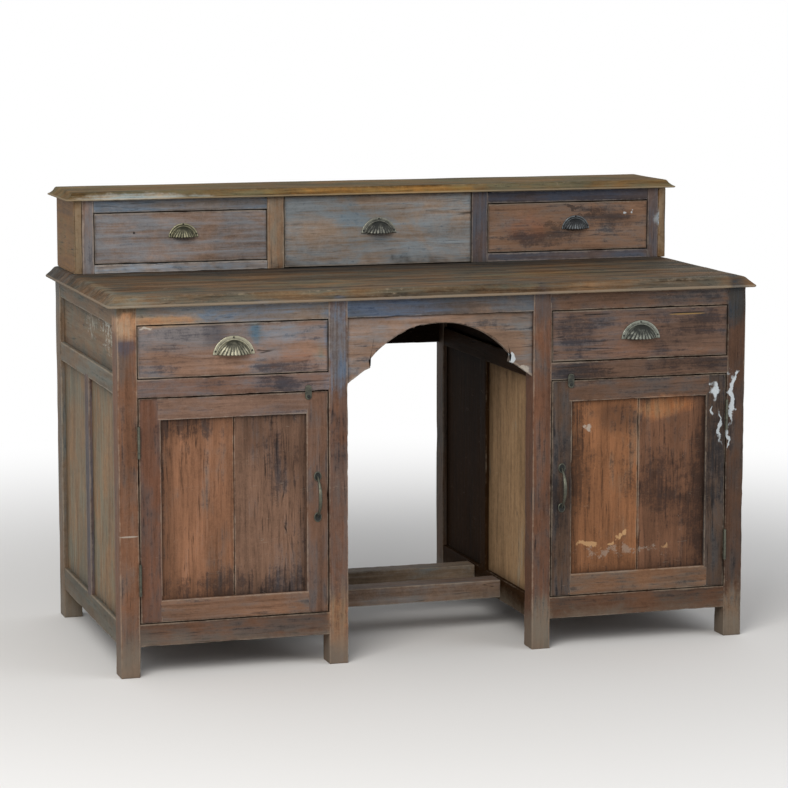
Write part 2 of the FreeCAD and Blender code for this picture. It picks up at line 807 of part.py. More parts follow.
# Drawers
def drawer(name, x, z, front_y, long, front_thick, side_thick):
    """A front with the sides lapped into its back, a bottom in grooves, and a back that
    stands on the bottom."""
    low, high = span(*x)
    edges = (low + s.drawer_gap, high - s.drawer_gap)
    front_z = (z[0] + s.drawer_gap, z[1] - s.drawer_gap)
    side_z = (z[0] + s.run_clear, z[1] - s.drawer_headroom)
    side_y = (front_y + front_thick - s.drawer_lap, front_y + long)
    lefts = (edges[0], edges[0] + side_thick)
    rights = (edges[1] - side_thick, edges[1])
    bottom_low = side_z[0] + s.drawer_bottom_rise
    bottom = block(name + "_bottom", (lefts[1] - s.drawer_groove, rights[0] + s.drawer_groove),
                   (front_y + front_thick - s.drawer_groove, front_y + long),
                   (bottom_low, bottom_low + s.drawer_bottom_thick))
    walls = [block(name + "_side_a_blank", lefts, side_y, side_z),
             block(name + "_side_b_blank", rights, side_y, side_z)]
    grooved = [cut(name + "_side_a", walls[0], [bottom]), cut(name + "_side_b", walls[1], [bottom])]
    back = block(name + "_back", (lefts[1], rights[0]),
                 (front_y + long - side_thick, front_y + long),
                 (bottom_low + s.drawer_bottom_thick, side_z[1] - s.drawer_back_drop))
    blank = block(name + "_front_blank", edges, (front_y, front_y + front_thick), front_z)
    nodes[name + "_front"] = cut(name + "_front", blank, walls + [bottom])
    nodes[name + "_box"] = group(name + "_box", grooved + [bottom, back])


def cup_pull(name, radius, reach, open_at, x, y, z):
    """The upper part of a ribbed domed shell with a flange round it, open below for the
    fingers. The opening lies a little above the middle of the dome."""
    dome = radius - s.pull_flange_wide
    rise = reach - s.pull_flange_thick
    flange_y = y - s.pull_flange_thick
    disc = cylinder(name + "_disc", radius, s.pull_flange_thick, x, flange_y, z, "y")
    crown = cut(name + "_crown", ball(name + "_ball", dome, rise, x, flange_y, z),
                [valleys(name + "_valleys", dome, rise, x, flange_y, z)])
    hollow = ball(name + "_hollow", dome - s.pull_wall, reach - s.pull_wall, x, y, z)
    shell = cut(name + "_shell", fuse(name + "_blank", [disc, crown]), [hollow])
    upper = block(name + "_upper", (x - radius, x + radius), (y - reach, y), (z + open_at, z + radius))
    nodes[name] = common(name, shell, upper)


def ball_radius(base, rise):
    """The radius of a ball whose cap has the given base radius and rise."""
    return (base * base + rise * rise) / (2 * rise)


def ball(name, base, rise, x, y, z):
    """A ball whose cap in front of the plane y has the given base radius and rise."""
    radius = ball_radius(base, rise)
    item = doc.addObject("Part::Sphere", name)
    bind(item, Radius=radius)
    place(item, x, y - rise + radius, z)
    return item


def valleys(name, base, rise, x, y, z):
    """The valleys between the ribs: rings that fan out over a ball like meridians, from a hub
    at the top of its cap down to the open lip."""
    radius = ball_radius(base, rise)
    rings = []
    for index in range(VALLEYS):
        turn = math.radians(VALLEY_FAN_DEGREES * (2 * index / (VALLEYS - 1) - 1))
        start = math.radians(VALLEY_START_DEGREES)
        away = FreeCAD.Vector(math.sin(turn), -math.cos(turn), 0)
        up = FreeCAD.Vector(0, 0, 1)
        first = away * math.sin(start) + up * math.cos(start)
        later = away * math.cos(start) - up * math.sin(start)
        ring = doc.addObject("Part::Torus", f"{name}_{index}")
        turn_to(ring, FreeCAD.Rotation(first, later, first.cross(later)))
        ring.Angle3 = VALLEY_SWEEP_DEGREES
        bind(ring, Radius1=radius + s.valley_radius - s.valley_deep, Radius2=s.valley_radius)
        rings.append(ring)
    fan = group(name, rings)
    turn_to(fan, FreeCAD.Rotation(FreeCAD.Vector(1, 0, 0), 1))
    fan.setExpression("Placement.Rotation.Angle", f"atan2({(radius - rise).text}; {base.text})")
    place(fan, x, y - rise + radius, z)
    return fan


def pedestal_drawers():
    """The drawer of each pedestal with its cup pull."""
    z = (drawer_low, top_rail_low)
    long = back_post_front - s.drawer_back_room - face
    for side in SIDES:
        x = pedestal_x(side)
        drawer(f"drawer_{side}", x, z, face, long, s.drawer_front_thick, s.drawer_side_thick)
        cup_pull(f"drawer_{side}_pull", s.pull_radius, s.pull_reach, s.pull_cut,
                 (x[0] + x[1]) / 2, face, z[0] + s.pull_rise)


def gallery_drawers():
    """The three gallery drawers. The middle one is as tall as the gallery."""
    front_y = gallery_front + face
    low = s.desk_high + s.gallery_bottom_rail_high
    outer_z = (low, gallery_top_low - s.gallery_top_rail_high)
    middle_half = s.gallery_middle_open / 2
    middle_x = (s.gallery_shift - middle_half, s.gallery_shift + middle_half)
    long = s.depth - s.gallery_back_thick - s.gallery_drawer_back_room - front_y
    sizes = (front_y, long, s.gallery_drawer_front_thick, s.gallery_drawer_side_thick)
    shifts = {"left": s.gallery_left_pull_shift, "right": s.gallery_right_pull_shift}
    rises = {"left": s.gallery_pull_rise, "right": s.gallery_pull_rise - s.gallery_right_pull_drop}
    for side in SIDES:
        x = gallery_opening(side)
        drawer(f"gallery_drawer_{side}", x, outer_z, *sizes)
        cup_pull(f"gallery_drawer_{side}_pull", s.gallery_pull_radius, s.gallery_pull_reach,
                 s.gallery_pull_cut, (x[0] + x[1]) / 2 + shifts[side], front_y, outer_z[0] + rises[side])
    drawer("gallery_drawer_middle", middle_x, (s.desk_high, gallery_top_low), *sizes)
    cup_pull("gallery_drawer_middle_pull", s.middle_pull_radius, s.pull_reach, s.pull_cut,
             s.gallery_shift, front_y, s.desk_high + s.middle_pull_rise)


# Doors
def door(side):
    """A framed door with a two-board panel, hung on its outer edge."""
    sign = SIDES[side]
    name = f"door_{side}"
    lock, hinge = sign * (inner + s.door_gap), sign * (outer - s.door_gap)
    z = (door_low + s.door_gap, door_high - s.door_gap)
    y = (face, face + s.door_thick)
    panel_y = (face + s.door_panel_recess, face + s.door_panel_recess + s.door_panel_thick)
    lock_stile = (lock, lock + sign * s.door_stile_wide)
    hinge_stile = (hinge - sign * s.door_stile_wide, hinge)
    between = (lock_stile[1], hinge_stile[0])
    groove = (lock_stile[1] - sign * s.door_groove, hinge_stile[0] + sign * s.door_groove)
    levels = {"bottom": (z[0], z[0] + s.door_bottom_rail_high), "top": (z[1] - s.door_top_rail_high, z[1])}
    opening = (levels["bottom"][1], levels["top"][0])
    groove_z = (opening[0] - s.door_groove, opening[1] + s.door_groove)
    cavity = block(name + "_panel_space", groove, panel_y, groove_z)
    rails, tongues = {}, []
    for level, up in levels.items():
        tongue = block(f"{name}_{level}_tongue", groove, panel_y, up)
        bar = block(f"{name}_{level}_bar", between, y, up)
        blank = fuse(f"{name}_{level}_rail_blank", [bar, tongue])
        rails[level] = cut(f"{name}_{level}_rail", blank, [cavity])
        tongues.append(tongue)
    shank_hole = turn_button(side, lock, z[1])
    rails["top"] = cut(f"{name}_top_rail_bored", rails["top"], [shank_hole])
    recesses = door_hinges(side, z)
    stiles = []
    for line, x, extra in (("lock", lock_stile, [shank_hole]), ("hinge", hinge_stile, recesses)):
        blank = block(f"{name}_{line}_stile_blank", x, y, z)
        stiles.append(cut(f"{name}_{line}_stile", blank, tongues + [cavity] + extra))
    nodes[name + "_frame"] = group(name + "_frame", stiles + list(rails.values()))
    door_panel(name, groove, panel_y, groove_z, sign)
    bow_pull(side, (lock_stile[0] + lock_stile[1]) / 2)


def door_panel(name, groove, y, groove_z, sign):
    """Two upright boards in the door's grooves, with an open seam between them."""
    play = s.panel_play
    reach = (groove[0] + sign * play, groove[1] - sign * play)
    z = (groove_z[0] + play, groove_z[1] - play)
    middle = (reach[0] + reach[1]) / 2
    seam = sign * s.board_seam / 2
    boards = [block(name + "_board_a", (reach[0], middle - seam), y, z),
              block(name + "_board_b", (middle + seam, reach[1]), y, z)]
    nodes[name + "_panel"] = group(name + "_panel", boards)


def door_hinges(side, z):
    """Two butt hinges: a leaf let into the post, a leaf let into the door and a pin. The
    door's leaf has the middle knuckle and the post's leaf the other two."""
    sign = SIDES[side]
    name = f"hinge_{side}"
    axis_x = sign * (outer - s.door_gap / 2)
    axis_y = -(s.knuckle_radius + s.knuckle_clear)
    door_edge = sign * (outer - s.door_gap)
    post_x = (sign * outer, sign * (outer + s.leaf_thick))
    door_x = (door_edge, door_edge - sign * s.leaf_thick)
    door_leaves, recesses = [], []
    centres = {"upper": door_high - s.hinge_top_drop, "lower": door_low + s.hinge_bottom_rise}
    for level, centre in centres.items():
        label = f"{name}_{level}"
        low, high = centre - s.hinge_high / 2, centre + s.hinge_high / 2
        third = s.hinge_high * HINGE_THIRDS_SHARE
        bore = cylinder(f"{label}_bore", s.pin_radius + s.pin_clear, s.hinge_high, axis_x, axis_y, low, "z")
        post_plate = block(f"{label}_post_plate", post_x, (as_size(0), s.leaf_wide), (low, high))
        door_plate = block(f"{label}_door_plate", door_x, (face, face + s.leaf_wide), (low, high))
        sockets[f"front_post_{side}_outer"].append(post_plate)
        recesses.append(door_plate)
        post_shapes, door_shapes = [post_plate], [door_plate]
        for part, bottom in (("bottom", low), ("top", high - third)):
            post_shapes += knuckle(f"{label}_{part}", axis_x, axis_y, post_x, as_size(0), bottom, third)
        middle = low + third + s.knuckle_gap
        door_shapes += knuckle(f"{label}_middle", axis_x, axis_y, door_x, face,
                               middle, third - 2 * s.knuckle_gap)
        post_leaves.append(cut(f"{label}_post_leaf", fuse(f"{label}_post_blank", post_shapes), [bore]))
        door_leaves.append(cut(f"{label}_door_leaf", fuse(f"{label}_door_blank", door_shapes), [bore]))
        shaft = cylinder(f"{label}_shaft", s.pin_radius, s.hinge_high, axis_x, axis_y, low, "z")
        head = cylinder(f"{label}_head", s.pin_head_radius, s.pin_head_thick, axis_x, axis_y, high, "z")
        pins.append(fuse(f"{label}_pin", [shaft, head]))
    nodes[f"door_{side}_hinge_leaves"] = group(f"door_{side}_hinge_leaves", door_leaves)
    return recesses


def knuckle(name, x, y, plate_x, plate_y, low, long):
    """One barrel of a hinge and the strip that ties it to its leaf."""
    return [cylinder(name + "_barrel", s.knuckle_radius, long, x, y, low, "z"),
            block(name + "_strip", plate_x, (y, plate_y), (low, low + long))]


def rounded_plate(name, half, low, high, thick):
    """A plate with two round ends, whose centres lie at low and high on its long axis."""
    corners = [((0, low - half), (half, low)), (half, high),
               ((0, high + half), (-half, high)), (-half, low)]
    return padded(name, "XZ_Plane", corners, thick)


def bow_pull(side, x):
    """A bar bowed out from the door between two dished oval plates. The bar is thin at its
    ends and thick in the hand: a loft through circles that stand across its arc."""
    name = f"door_{side}_pull"
    centre = door_low + s.bow_height
    if side == "right":
        centre = centre - s.bow_right_drop
    chord = (s.bow_long - s.bow_plate_long) / 2
    rise = s.bow_rise - s.bow_bar_radius
    radius = (chord * chord + rise * rise) / (2 * rise)
    rings = []
    for index, (share, swell) in enumerate(zip(BOW_STATION_SHARES, BOW_SWELL_SHARES)):
        rings.append(bow_ring(f"{name}_ring_{index}", (x, face - rise, centre), chord, radius, share, swell))
    bar = doc.addObject("Part::Loft", name + "_bar")
    bar.Sections = rings
    bar.Solid = True
    reach = s.bow_long / 2
    half = s.bow_plate_wide / 2
    room = block(name + "_room", (x - half, x + half),
                 (face - s.bow_rise - s.bow_plate_thick, face), (centre - reach, centre + reach))
    pieces = [common(name + "_bar_before_door", bar, room)]
    straight = (s.bow_plate_long - s.bow_plate_wide) / 2
    dish_half = half - s.bow_plate_rim
    for end, turn in (("low", -1), ("high", 1)):
        z = centre + turn * chord
        plate = rounded_plate(f"{name}_plate_{end}", half, -straight, straight, s.bow_plate_thick)
        place(plate, x, face, z)
        dish = rounded_plate(f"{name}_dish_{end}", dish_half, -straight, straight, s.bow_plate_dish)
        place(dish, x, face - s.bow_plate_thick + s.bow_plate_dish, z)
        pieces.append(cut(f"{name}_dished_plate_{end}", plate, [dish]))
    nodes[name] = fuse(name, pieces)


def bow_ring(name, crest, chord, radius, share, swell):
    """A circle across the arc of a bow pull, part of the way from its crest to one end."""
    ring = doc.addObject("Part::Circle", name)
    turn_to(ring, FreeCAD.Rotation(FreeCAD.Vector(-1 if share > 0 else 1, 0, 0), 1))
    lean = math.asin(chord.value / radius.value) * abs(share)
    angle = f"({abs(share)!r} * asin({chord.text} / {radius.text}))"
    ring.setExpression("Placement.Rotation.Angle", angle)
    bind(ring, Radius=s.bow_neck_radius + (s.bow_bar_radius - s.bow_neck_radius) * swell)
    back = Size(radius.value * (1 - math.cos(lean)), f"({radius.text} * (1 - cos({angle})))")
    along = Size(radius.value * math.sin(lean), f"({radius.text} * sin({angle}))")
    place(ring, crest[0], crest[1] + back, crest[2] + (along if share > 0 else -along))
    return ring


def turn_button(side, lock, door_top):
    """A plate with round ends that turns on its shank in the door's top rail; its upper end
    lies before the frame and keeps the door shut. Gives the hole for the shank."""
    sign = SIDES[side]
    name = f"door_{side}_button"
    x = lock + sign * s.button_place
    z = door_top - s.button_drop
    back = face - s.button_clear
    straight = s.button_long - s.button_wide
    plate = rounded_plate(name + "_plate", s.button_wide / 2, as_size(0), straight, s.button_thick)
    place(plate, x, back, z)
    shank = cylinder(name + "_shank", s.button_shank_radius, s.button_shank_long, x, back, z, "y")
    head = cylinder(name + "_head", s.button_head_radius, s.button_head_thick,
                    x, back - s.button_thick - s.button_head_thick, z, "y")
    nodes[name] = fuse(name, [plate, shank, head])
    return cylinder(name + "_hole", s.button_shank_radius + s.button_shank_clear,
                    s.button_shank_long + s.button_clear, x, back, z, "y")


# Making everything, posts last because they take the joints of all the rest
post_leaves, pins = [], []
for side in SIDES:
    front_rails(side)
    side_wall("outer", side)
    side_wall("inner", side)
    door(side)
kneehole_rail()
kneehole_apron()
kneehole_back_board()
kneehole_stretchers()
pedestal_backs()
cupboard_floors()
drawer_runners()
gallery()
pedestal_drawers()
gallery_drawers()
main_top()
gallery_top()
nodes["hinge_post_leaves"] = group("hinge_post_leaves", post_leaves)
nodes["hinge_pins"] = group("hinge_pins", pins)
posts()

for name, item in nodes.items():
    item.Label = name
doc.recompute()

for item in doc.Objects:
    if "Invalid" in item.State or "Error" in item.State:
        raise RuntimeError(f"{item.Label} failed: {item.State}")
for name, item in nodes.items():
    if item.Shape.isNull() or not item.Shape.isValid():
        raise RuntimeError(f"{name} has no sound shape")

os.makedirs("parts", exist_ok=True)
for name, item in sorted(nodes.items()):
    item.Shape.exportStep(f"parts/{name}.step")
    print(name, len(item.Shape.Solids), "solids", round(item.Shape.Volume / 1000.0, 1), "cm3")
print(len(nodes), "nodes")
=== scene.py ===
# %% [markdown]
# # A study table of old painted hardwood
# The real table was put together from boards that had a life before it: posts, rails, panels
# and mouldings of dark red-brown wood, with the remains of blue-grey paint, smoke stains,
# knocks and rubbed edges. The solids of the table are already there, at their true size. This
# lesson dresses them: every board is made again as a slightly worn one, the pulls get their
# flutes and screws, and one recipe for old wood is mixed in many ways.

# %% Load the solids
import json
import math
from types import SimpleNamespace
import bmesh
import bpy
import numpy as np
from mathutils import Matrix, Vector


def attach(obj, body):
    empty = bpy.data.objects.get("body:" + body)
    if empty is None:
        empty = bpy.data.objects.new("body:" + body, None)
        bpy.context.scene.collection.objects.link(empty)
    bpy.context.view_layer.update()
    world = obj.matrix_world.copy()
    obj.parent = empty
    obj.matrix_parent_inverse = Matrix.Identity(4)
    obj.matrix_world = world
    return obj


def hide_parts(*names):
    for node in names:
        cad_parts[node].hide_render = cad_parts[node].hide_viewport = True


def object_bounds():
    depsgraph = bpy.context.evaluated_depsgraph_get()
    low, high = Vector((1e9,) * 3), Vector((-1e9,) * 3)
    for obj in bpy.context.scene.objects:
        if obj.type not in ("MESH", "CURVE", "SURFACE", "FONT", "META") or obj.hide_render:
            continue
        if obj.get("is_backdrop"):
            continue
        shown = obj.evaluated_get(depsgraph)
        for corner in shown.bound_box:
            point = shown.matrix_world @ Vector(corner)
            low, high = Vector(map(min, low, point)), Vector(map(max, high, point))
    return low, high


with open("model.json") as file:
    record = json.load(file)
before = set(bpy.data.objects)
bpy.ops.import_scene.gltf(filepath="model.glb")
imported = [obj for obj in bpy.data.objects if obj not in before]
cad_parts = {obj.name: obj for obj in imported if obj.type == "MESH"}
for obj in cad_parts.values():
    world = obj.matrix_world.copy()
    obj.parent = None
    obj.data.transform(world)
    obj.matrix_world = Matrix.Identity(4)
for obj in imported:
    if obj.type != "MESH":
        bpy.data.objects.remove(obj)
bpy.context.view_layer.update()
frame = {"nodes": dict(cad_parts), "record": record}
BODIES = frame["record"]["behaviour"]["bodies"]
BODY_OF = {node: body for body, nodes in BODIES.items() for node in nodes}

# %% [markdown]
# A node can hold several boards, such as the three rails between two posts. Their triangles
# come one board after another. An edge that has met only one of its two triangles is open,
# and after the last triangle of a board nothing is open, so counting the open edges shows
# where each board ends. Blender can also split a mesh by loose parts, but counting on whole
# arrays is quicker and leaves the mesh alone.

# %% Find the boards in a node
STEPS = 1e5  # per metre: corners that agree to 0.01 mm are one point


def boards_of(node):
    """The box of each closed board in a node: sort the edges of all triangles, pair each edge's
    two triangles, and split where the running number of half-paired edges falls to zero."""
    mesh = frame["nodes"][node].data
    spots = np.zeros(len(mesh.vertices) * 3, np.float32)
    mesh.vertices.foreach_get("co", spots)
    spots = spots.reshape(-1, 3)
    corners = np.zeros(len(mesh.loops), np.int32)
    mesh.loops.foreach_get("vertex_index", corners)
    places = np.round(spots * STEPS).astype(np.int64)
    known, same = np.unique(places, axis=0, return_inverse=True)
    triangles = same.reshape(-1)[corners].reshape(-1, 3)
    edges = np.stack([triangles, np.roll(triangles, -1, 1)], 2).reshape(-1, 2)
    edges.sort(1)
    owner = np.repeat(np.arange(len(triangles)), 3)
    code = edges[:, 0] * len(known) + edges[:, 1]
    order = np.lexsort((owner, code))
    opened = np.zeros(len(triangles) + 1)
    np.add.at(opened, owner[order][0::2], 1)
    np.add.at(opened, owner[order][1::2], -1)
    ends = np.flatnonzero(np.cumsum(opened)[:-1] == 0) + 1
    boxes, start = [], 0
    for end in ends:
        part = spots[corners.reshape(-1, 3)[start:end].reshape(-1)].astype(float)
        boxes.append((part.min(0), part.max(0)))
        start = end
    return boxes


def box_round(boxes):
    """The one box that holds several."""
    lows, highs = zip(*boxes)
    return np.min(lows, 0), np.max(highs, 0)


print("gallery_frame has", len(boards_of("gallery_frame")), "boards")

# %% [markdown]
# Nothing on an old table is quite straight. A smooth random field, made of a few sine waves
# that run in random directions, moves edges and faces by fractions of a millimetre. A Displace
# modifier with a cloud texture would do it too, but this field needs only array sums, and the
# same seed always gives the same table.

# %% A field of waves
WAVES, EVEN = 9, 3.2  # how many waves, and what their sum is divided by


def waves(points, length, seed):
    """Sine waves of about the given length in random directions, added and scaled so that most
    values lie between -1 and 1."""
    random = np.random.default_rng(seed)
    turns = random.normal(size=(WAVES, 3))
    turns *= random.uniform(0.6, 1.7, (WAVES, 1)) / np.linalg.norm(turns, axis=1, keepdims=True)
    phases = random.uniform(0, 2 * math.pi, WAVES)
    return np.sin(points @ turns.T * (2 * math.pi / length) + phases).sum(-1) / EVEN


print("the first wave field at the origin is", round(float(waves(np.zeros(3), 0.1, 0)), 3))

# %% [markdown]
# A board is a rounded rectangle carried along the grain. A cube with a Bevel modifier would be
# as round, but its corners would stay perfect. Here the rectangle is kept as base points on a
# smaller inner rectangle with a direction each: the outline is base + radius * direction, so
# shrinking the radius towards the two ends rounds the ends as well. The corners are dented
# where the field is high, as they are on wood that has been knocked about. Five attributes go
# with every point: where it lies along the grain, how near an edge it is, its shares of paint,
# smoke and wear, its board's colour, and the colour and amount of a patch. The materials read
# them.

# %% Points along a straight run, close together near its ends
SHORT, CLOSE = 0.03, 0.006  # a run shorter than SHORT gets points about CLOSE apart
NEAR_END = np.array([0, 0.0025, 0.006, 0.012])
QUARTER = 5  # points round each corner
EDGE_FADE = 0.004  # the wear of an edge falls to a third at this distance


def stations(length, step):
    """Distances from 0 to length: fine near both ends, then evenly about one step apart."""
    if length < SHORT:
        return np.linspace(0, length, max(2, int(length / CLOSE) + 2))
    first, last = NEAR_END[-1], length - NEAR_END[-1]
    middle = np.linspace(first, last, max(2, int(length / step) + 1))[1:-1]
    return np.concatenate([NEAR_END, middle, length - NEAR_END[::-1]])


def rounded_rectangle(wide, high, radius, step):
    """Base points, directions and edge values round a rectangle, anticlockwise: four quarter
    circles about the corners of the inner rectangle, with straight runs between them."""
    half = np.array([wide, high]) / 2 - radius
    bases, ways, edges = [], [], []
    signs = np.array([(1, 1), (-1, 1), (-1, -1), (1, -1)])
    for k in range(4):
        corner, after = signs[k] * half, signs[(k + 1) % 4] * half
        angles = math.pi / 2 * (k + np.linspace(0, 1, QUARTER))
        bases.append(np.repeat(corner[None], QUARTER, 0))
        ways.append(np.stack([np.cos(angles), np.sin(angles)], 1))
        edges.append(np.ones(QUARTER))
        length = np.linalg.norm(after - corner)
        run = stations(length, step)[1:-1]
        bases.append(corner + (after - corner) * (run / length)[:, None])
        ways.append(np.repeat(ways[-1][-1:], len(run), 0))
        edges.append(np.exp(-np.minimum(run, length - run) / EDGE_FADE))
    return np.concatenate(bases), np.concatenate(ways), np.concatenate(edges)


def ring_faces(rings, around, closed=True):
    """The quads between neighbouring rings of points. closed joins each ring's last point to
    its first."""
    i, j = np.meshgrid(np.arange(rings - 1), np.arange(around - (not closed)), indexing="ij")
    k = (j + 1) % around
    here, next_ring = i * around, (i + 1) * around
    return np.stack([here + j, here + k, next_ring + k, next_ring + j], -1).reshape(-1, 4)


def end_caps(rings, around):
    """One face over the first ring and one over the last."""
    return [np.arange(around)[::-1], np.arange(around) + (rings - 1) * around]


print("a 40 mm run gets", len(stations(0.04, 0.02)), "points")

# %% One worn board
CORNER = 0.0016  # radius of a board's corners
FINE, COARSE = 0.012, 0.04  # steps along boards that are seen, and along hidden ones
DENT, BOW = 0.0013, 0.00016  # depth of the dents in corners, and of the faces' own waves
ROUND = np.linspace(0, math.pi / 2, 4)  # the angles of a rounded end


def board(low, high, seed, look, step):
    """A rounded rectangle carried from end to end along the longest side, its corners dented
    where the waves are high. look is a function from points to their shares and colours."""
    size = high - low
    s = int(np.argmax(size))
    a, b = (s + 1) % 3, (s + 2) % 3
    middle = (low + high) / 2
    radius = min(CORNER, size.min() * 0.3)
    base, way, edge = rounded_rectangle(size[a], size[b], radius, step * 2)
    run = radius + stations(size[s] - 2 * radius, step)[1:-1]
    along = np.concatenate([radius * (1 - np.cos(ROUND)), run,
                            size[s] - radius * (1 - np.cos(ROUND[::-1]))])
    reach = np.full(len(along), radius)
    reach[:len(ROUND)] = radius * np.sin(ROUND)
    reach[-len(ROUND):] = radius * np.sin(ROUND[::-1])
    flat = base[None] + reach[:, None, None] * way[None]
    points = np.zeros(flat.shape[:2] + (3,))
    points[..., s] = low[s] + along[:, None]
    points[..., a] = middle[a] + flat[..., 0]
    points[..., b] = middle[b] + flat[..., 1]
    outwards = np.zeros_like(points)
    outwards[..., a] = way[None, :, 0]
    outwards[..., b] = way[None, :, 1]
    from_end = np.minimum(along, size[s] - along)
    edge = np.maximum(edge[None], np.exp(-from_end / EDGE_FADE)[:, None])
    rough = 0.55 * waves(points, 0.09, seed) + 0.45 * waves(points, 0.021, seed + 1)
    dent = np.clip(rough + 0.15, 0, 1.2) ** 1.5 * edge ** 3 * DENT
    bow = BOW * (1 + np.clip(waves(points, 0.2, seed + 2), -1, 1))
    points = points - outwards * (dent + bow)[..., None]
    return carried(points, edge, seed, look, (s, a, b))


def carried(points, edge, seed, look, order=(0, 1, 2)):
    """Rings of points as a surface closed at both ends, with all that the wood recipe reads.
    order puts the axis of the grain first. Each board lies somewhere else in the noise."""
    rings, around = points.shape[:2]
    shift = np.random.default_rng(seed).uniform(0, 30, 3)
    share, tint, patch = look(points, seed)
    return {
        "points": points.reshape(-1, 3),
        "quads": ring_faces(rings, around),
        "caps": end_caps(rings, around),
        "grain": (points[..., order] + shift).reshape(-1, 3),
        "edge": np.broadcast_to(edge, (rings, around)).reshape(-1),
        "look": share.reshape(-1, 3),
        "tint": tint.reshape(-1, 3),
        "patch": patch.reshape(-1, 4),
    }


print("rails and panels get a ring every", FINE * 1000, "mm, hidden boards every", COARSE * 1000)

# %% [markdown]
# A node such as a door frame is one piece of the real table's cutting list, though it holds
# several boards, so its surfaces are joined into one mesh. from_pydata would take lists of
# points and faces; foreach_set hands the arrays over as they are. The piece then takes the
# place of its node, on the node's body, so that it moves with the drawer or the door.

# %% Join surfaces into one piece
ATTRIBUTES = {"grain": ("FLOAT_VECTOR", "vector"), "look": ("FLOAT_VECTOR", "vector"),
              "tint": ("FLOAT_VECTOR", "vector"), "patch": ("FLOAT_COLOR", "color"),
              "edge": ("FLOAT", "value")}


def make_piece(name, surfaces, nodes, material):
    """One mesh object from several surfaces, put in place of the given nodes."""
    start, points, loops, sizes = 0, [], [], []
    for surface in surfaces:
        points.append(surface["points"])
        loops.append((surface["quads"] + start).reshape(-1))
        sizes.append(np.full(len(surface["quads"]), 4))
        for cap in surface["caps"]:
            loops.append(cap + start)
            sizes.append(np.array([len(cap)]))
        start += len(surface["points"])
    points, loops, sizes = (np.concatenate(parts) for parts in (points, loops, sizes))
    mesh = bpy.data.meshes.new(name)
    mesh.vertices.add(len(points))
    mesh.vertices.foreach_set("co", points.reshape(-1).astype(np.float32))
    mesh.loops.add(len(loops))
    mesh.loops.foreach_set("vertex_index", loops.astype(np.int32))
    mesh.polygons.add(len(sizes))
    mesh.polygons.foreach_set("loop_start", (np.cumsum(sizes) - sizes).astype(np.int32))
    mesh.polygons.foreach_set("use_smooth", np.ones(len(sizes), bool))
    for key, (kind, field) in ATTRIBUTES.items():
        if key in surfaces[0]:
            values = np.concatenate([surface[key] for surface in surfaces]).astype(np.float32)
            mesh.attributes.new(key, kind, "POINT").data.foreach_set(field, values.reshape(-1))
    mesh.update(calc_edges=True)
    mesh.validate()
    piece = bpy.data.objects.new(name, mesh)
    bpy.context.scene.collection.objects.link(piece)
    mesh.materials.append(material)
    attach(piece, BODY_OF[nodes[0]])
    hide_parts(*nodes)
    return piece


print("a point of wood carries", ", ".join(ATTRIBUTES))

# %% [markdown]
# ## Writing shaders as sums
# A material is a graph of nodes, and a recipe with fifty of them is hard to read as links.
# Wire holds one output socket, and Python's signs add the Math node for each sum. Paint holds
# the graph and has one method for every other node: its type, its settings, its inputs. A
# sum is then written as it is thought, where links would need a line for each socket.


# %% Wires and paint
class Wire:
    """One output socket. Sums on it add Math nodes to its graph."""

    def __init__(self, paint, socket):
        self.paint, self.socket = paint, socket

    def other(self, name):
        """Another output of the same node."""
        return Wire(self.paint, self.socket.node.outputs[name])

    def math(self, operation, *others):
        return self.paint.node("ShaderNodeMath", {"operation": operation},
                               dict(enumerate((self,) + others)))

    def __add__(self, other):
        return self.math("ADD", other)

    def __sub__(self, other):
        return self.math("SUBTRACT", other)

    def __rsub__(self, other):
        return self.paint.node("ShaderNodeMath", {"operation": "SUBTRACT"}, {0: other, 1: self})

    def __mul__(self, other):
        return self.math("MULTIPLY", other)

    __radd__, __rmul__ = __add__, __mul__

    def between(self, low, high):
        """0 below low, 1 above high, and a smooth step between."""
        return self.paint.node("ShaderNodeMapRange", {"interpolation_type": "SMOOTHSTEP"},
                               {0: self, 1: low, 2: high, 3: 0.0, 4: 1.0})


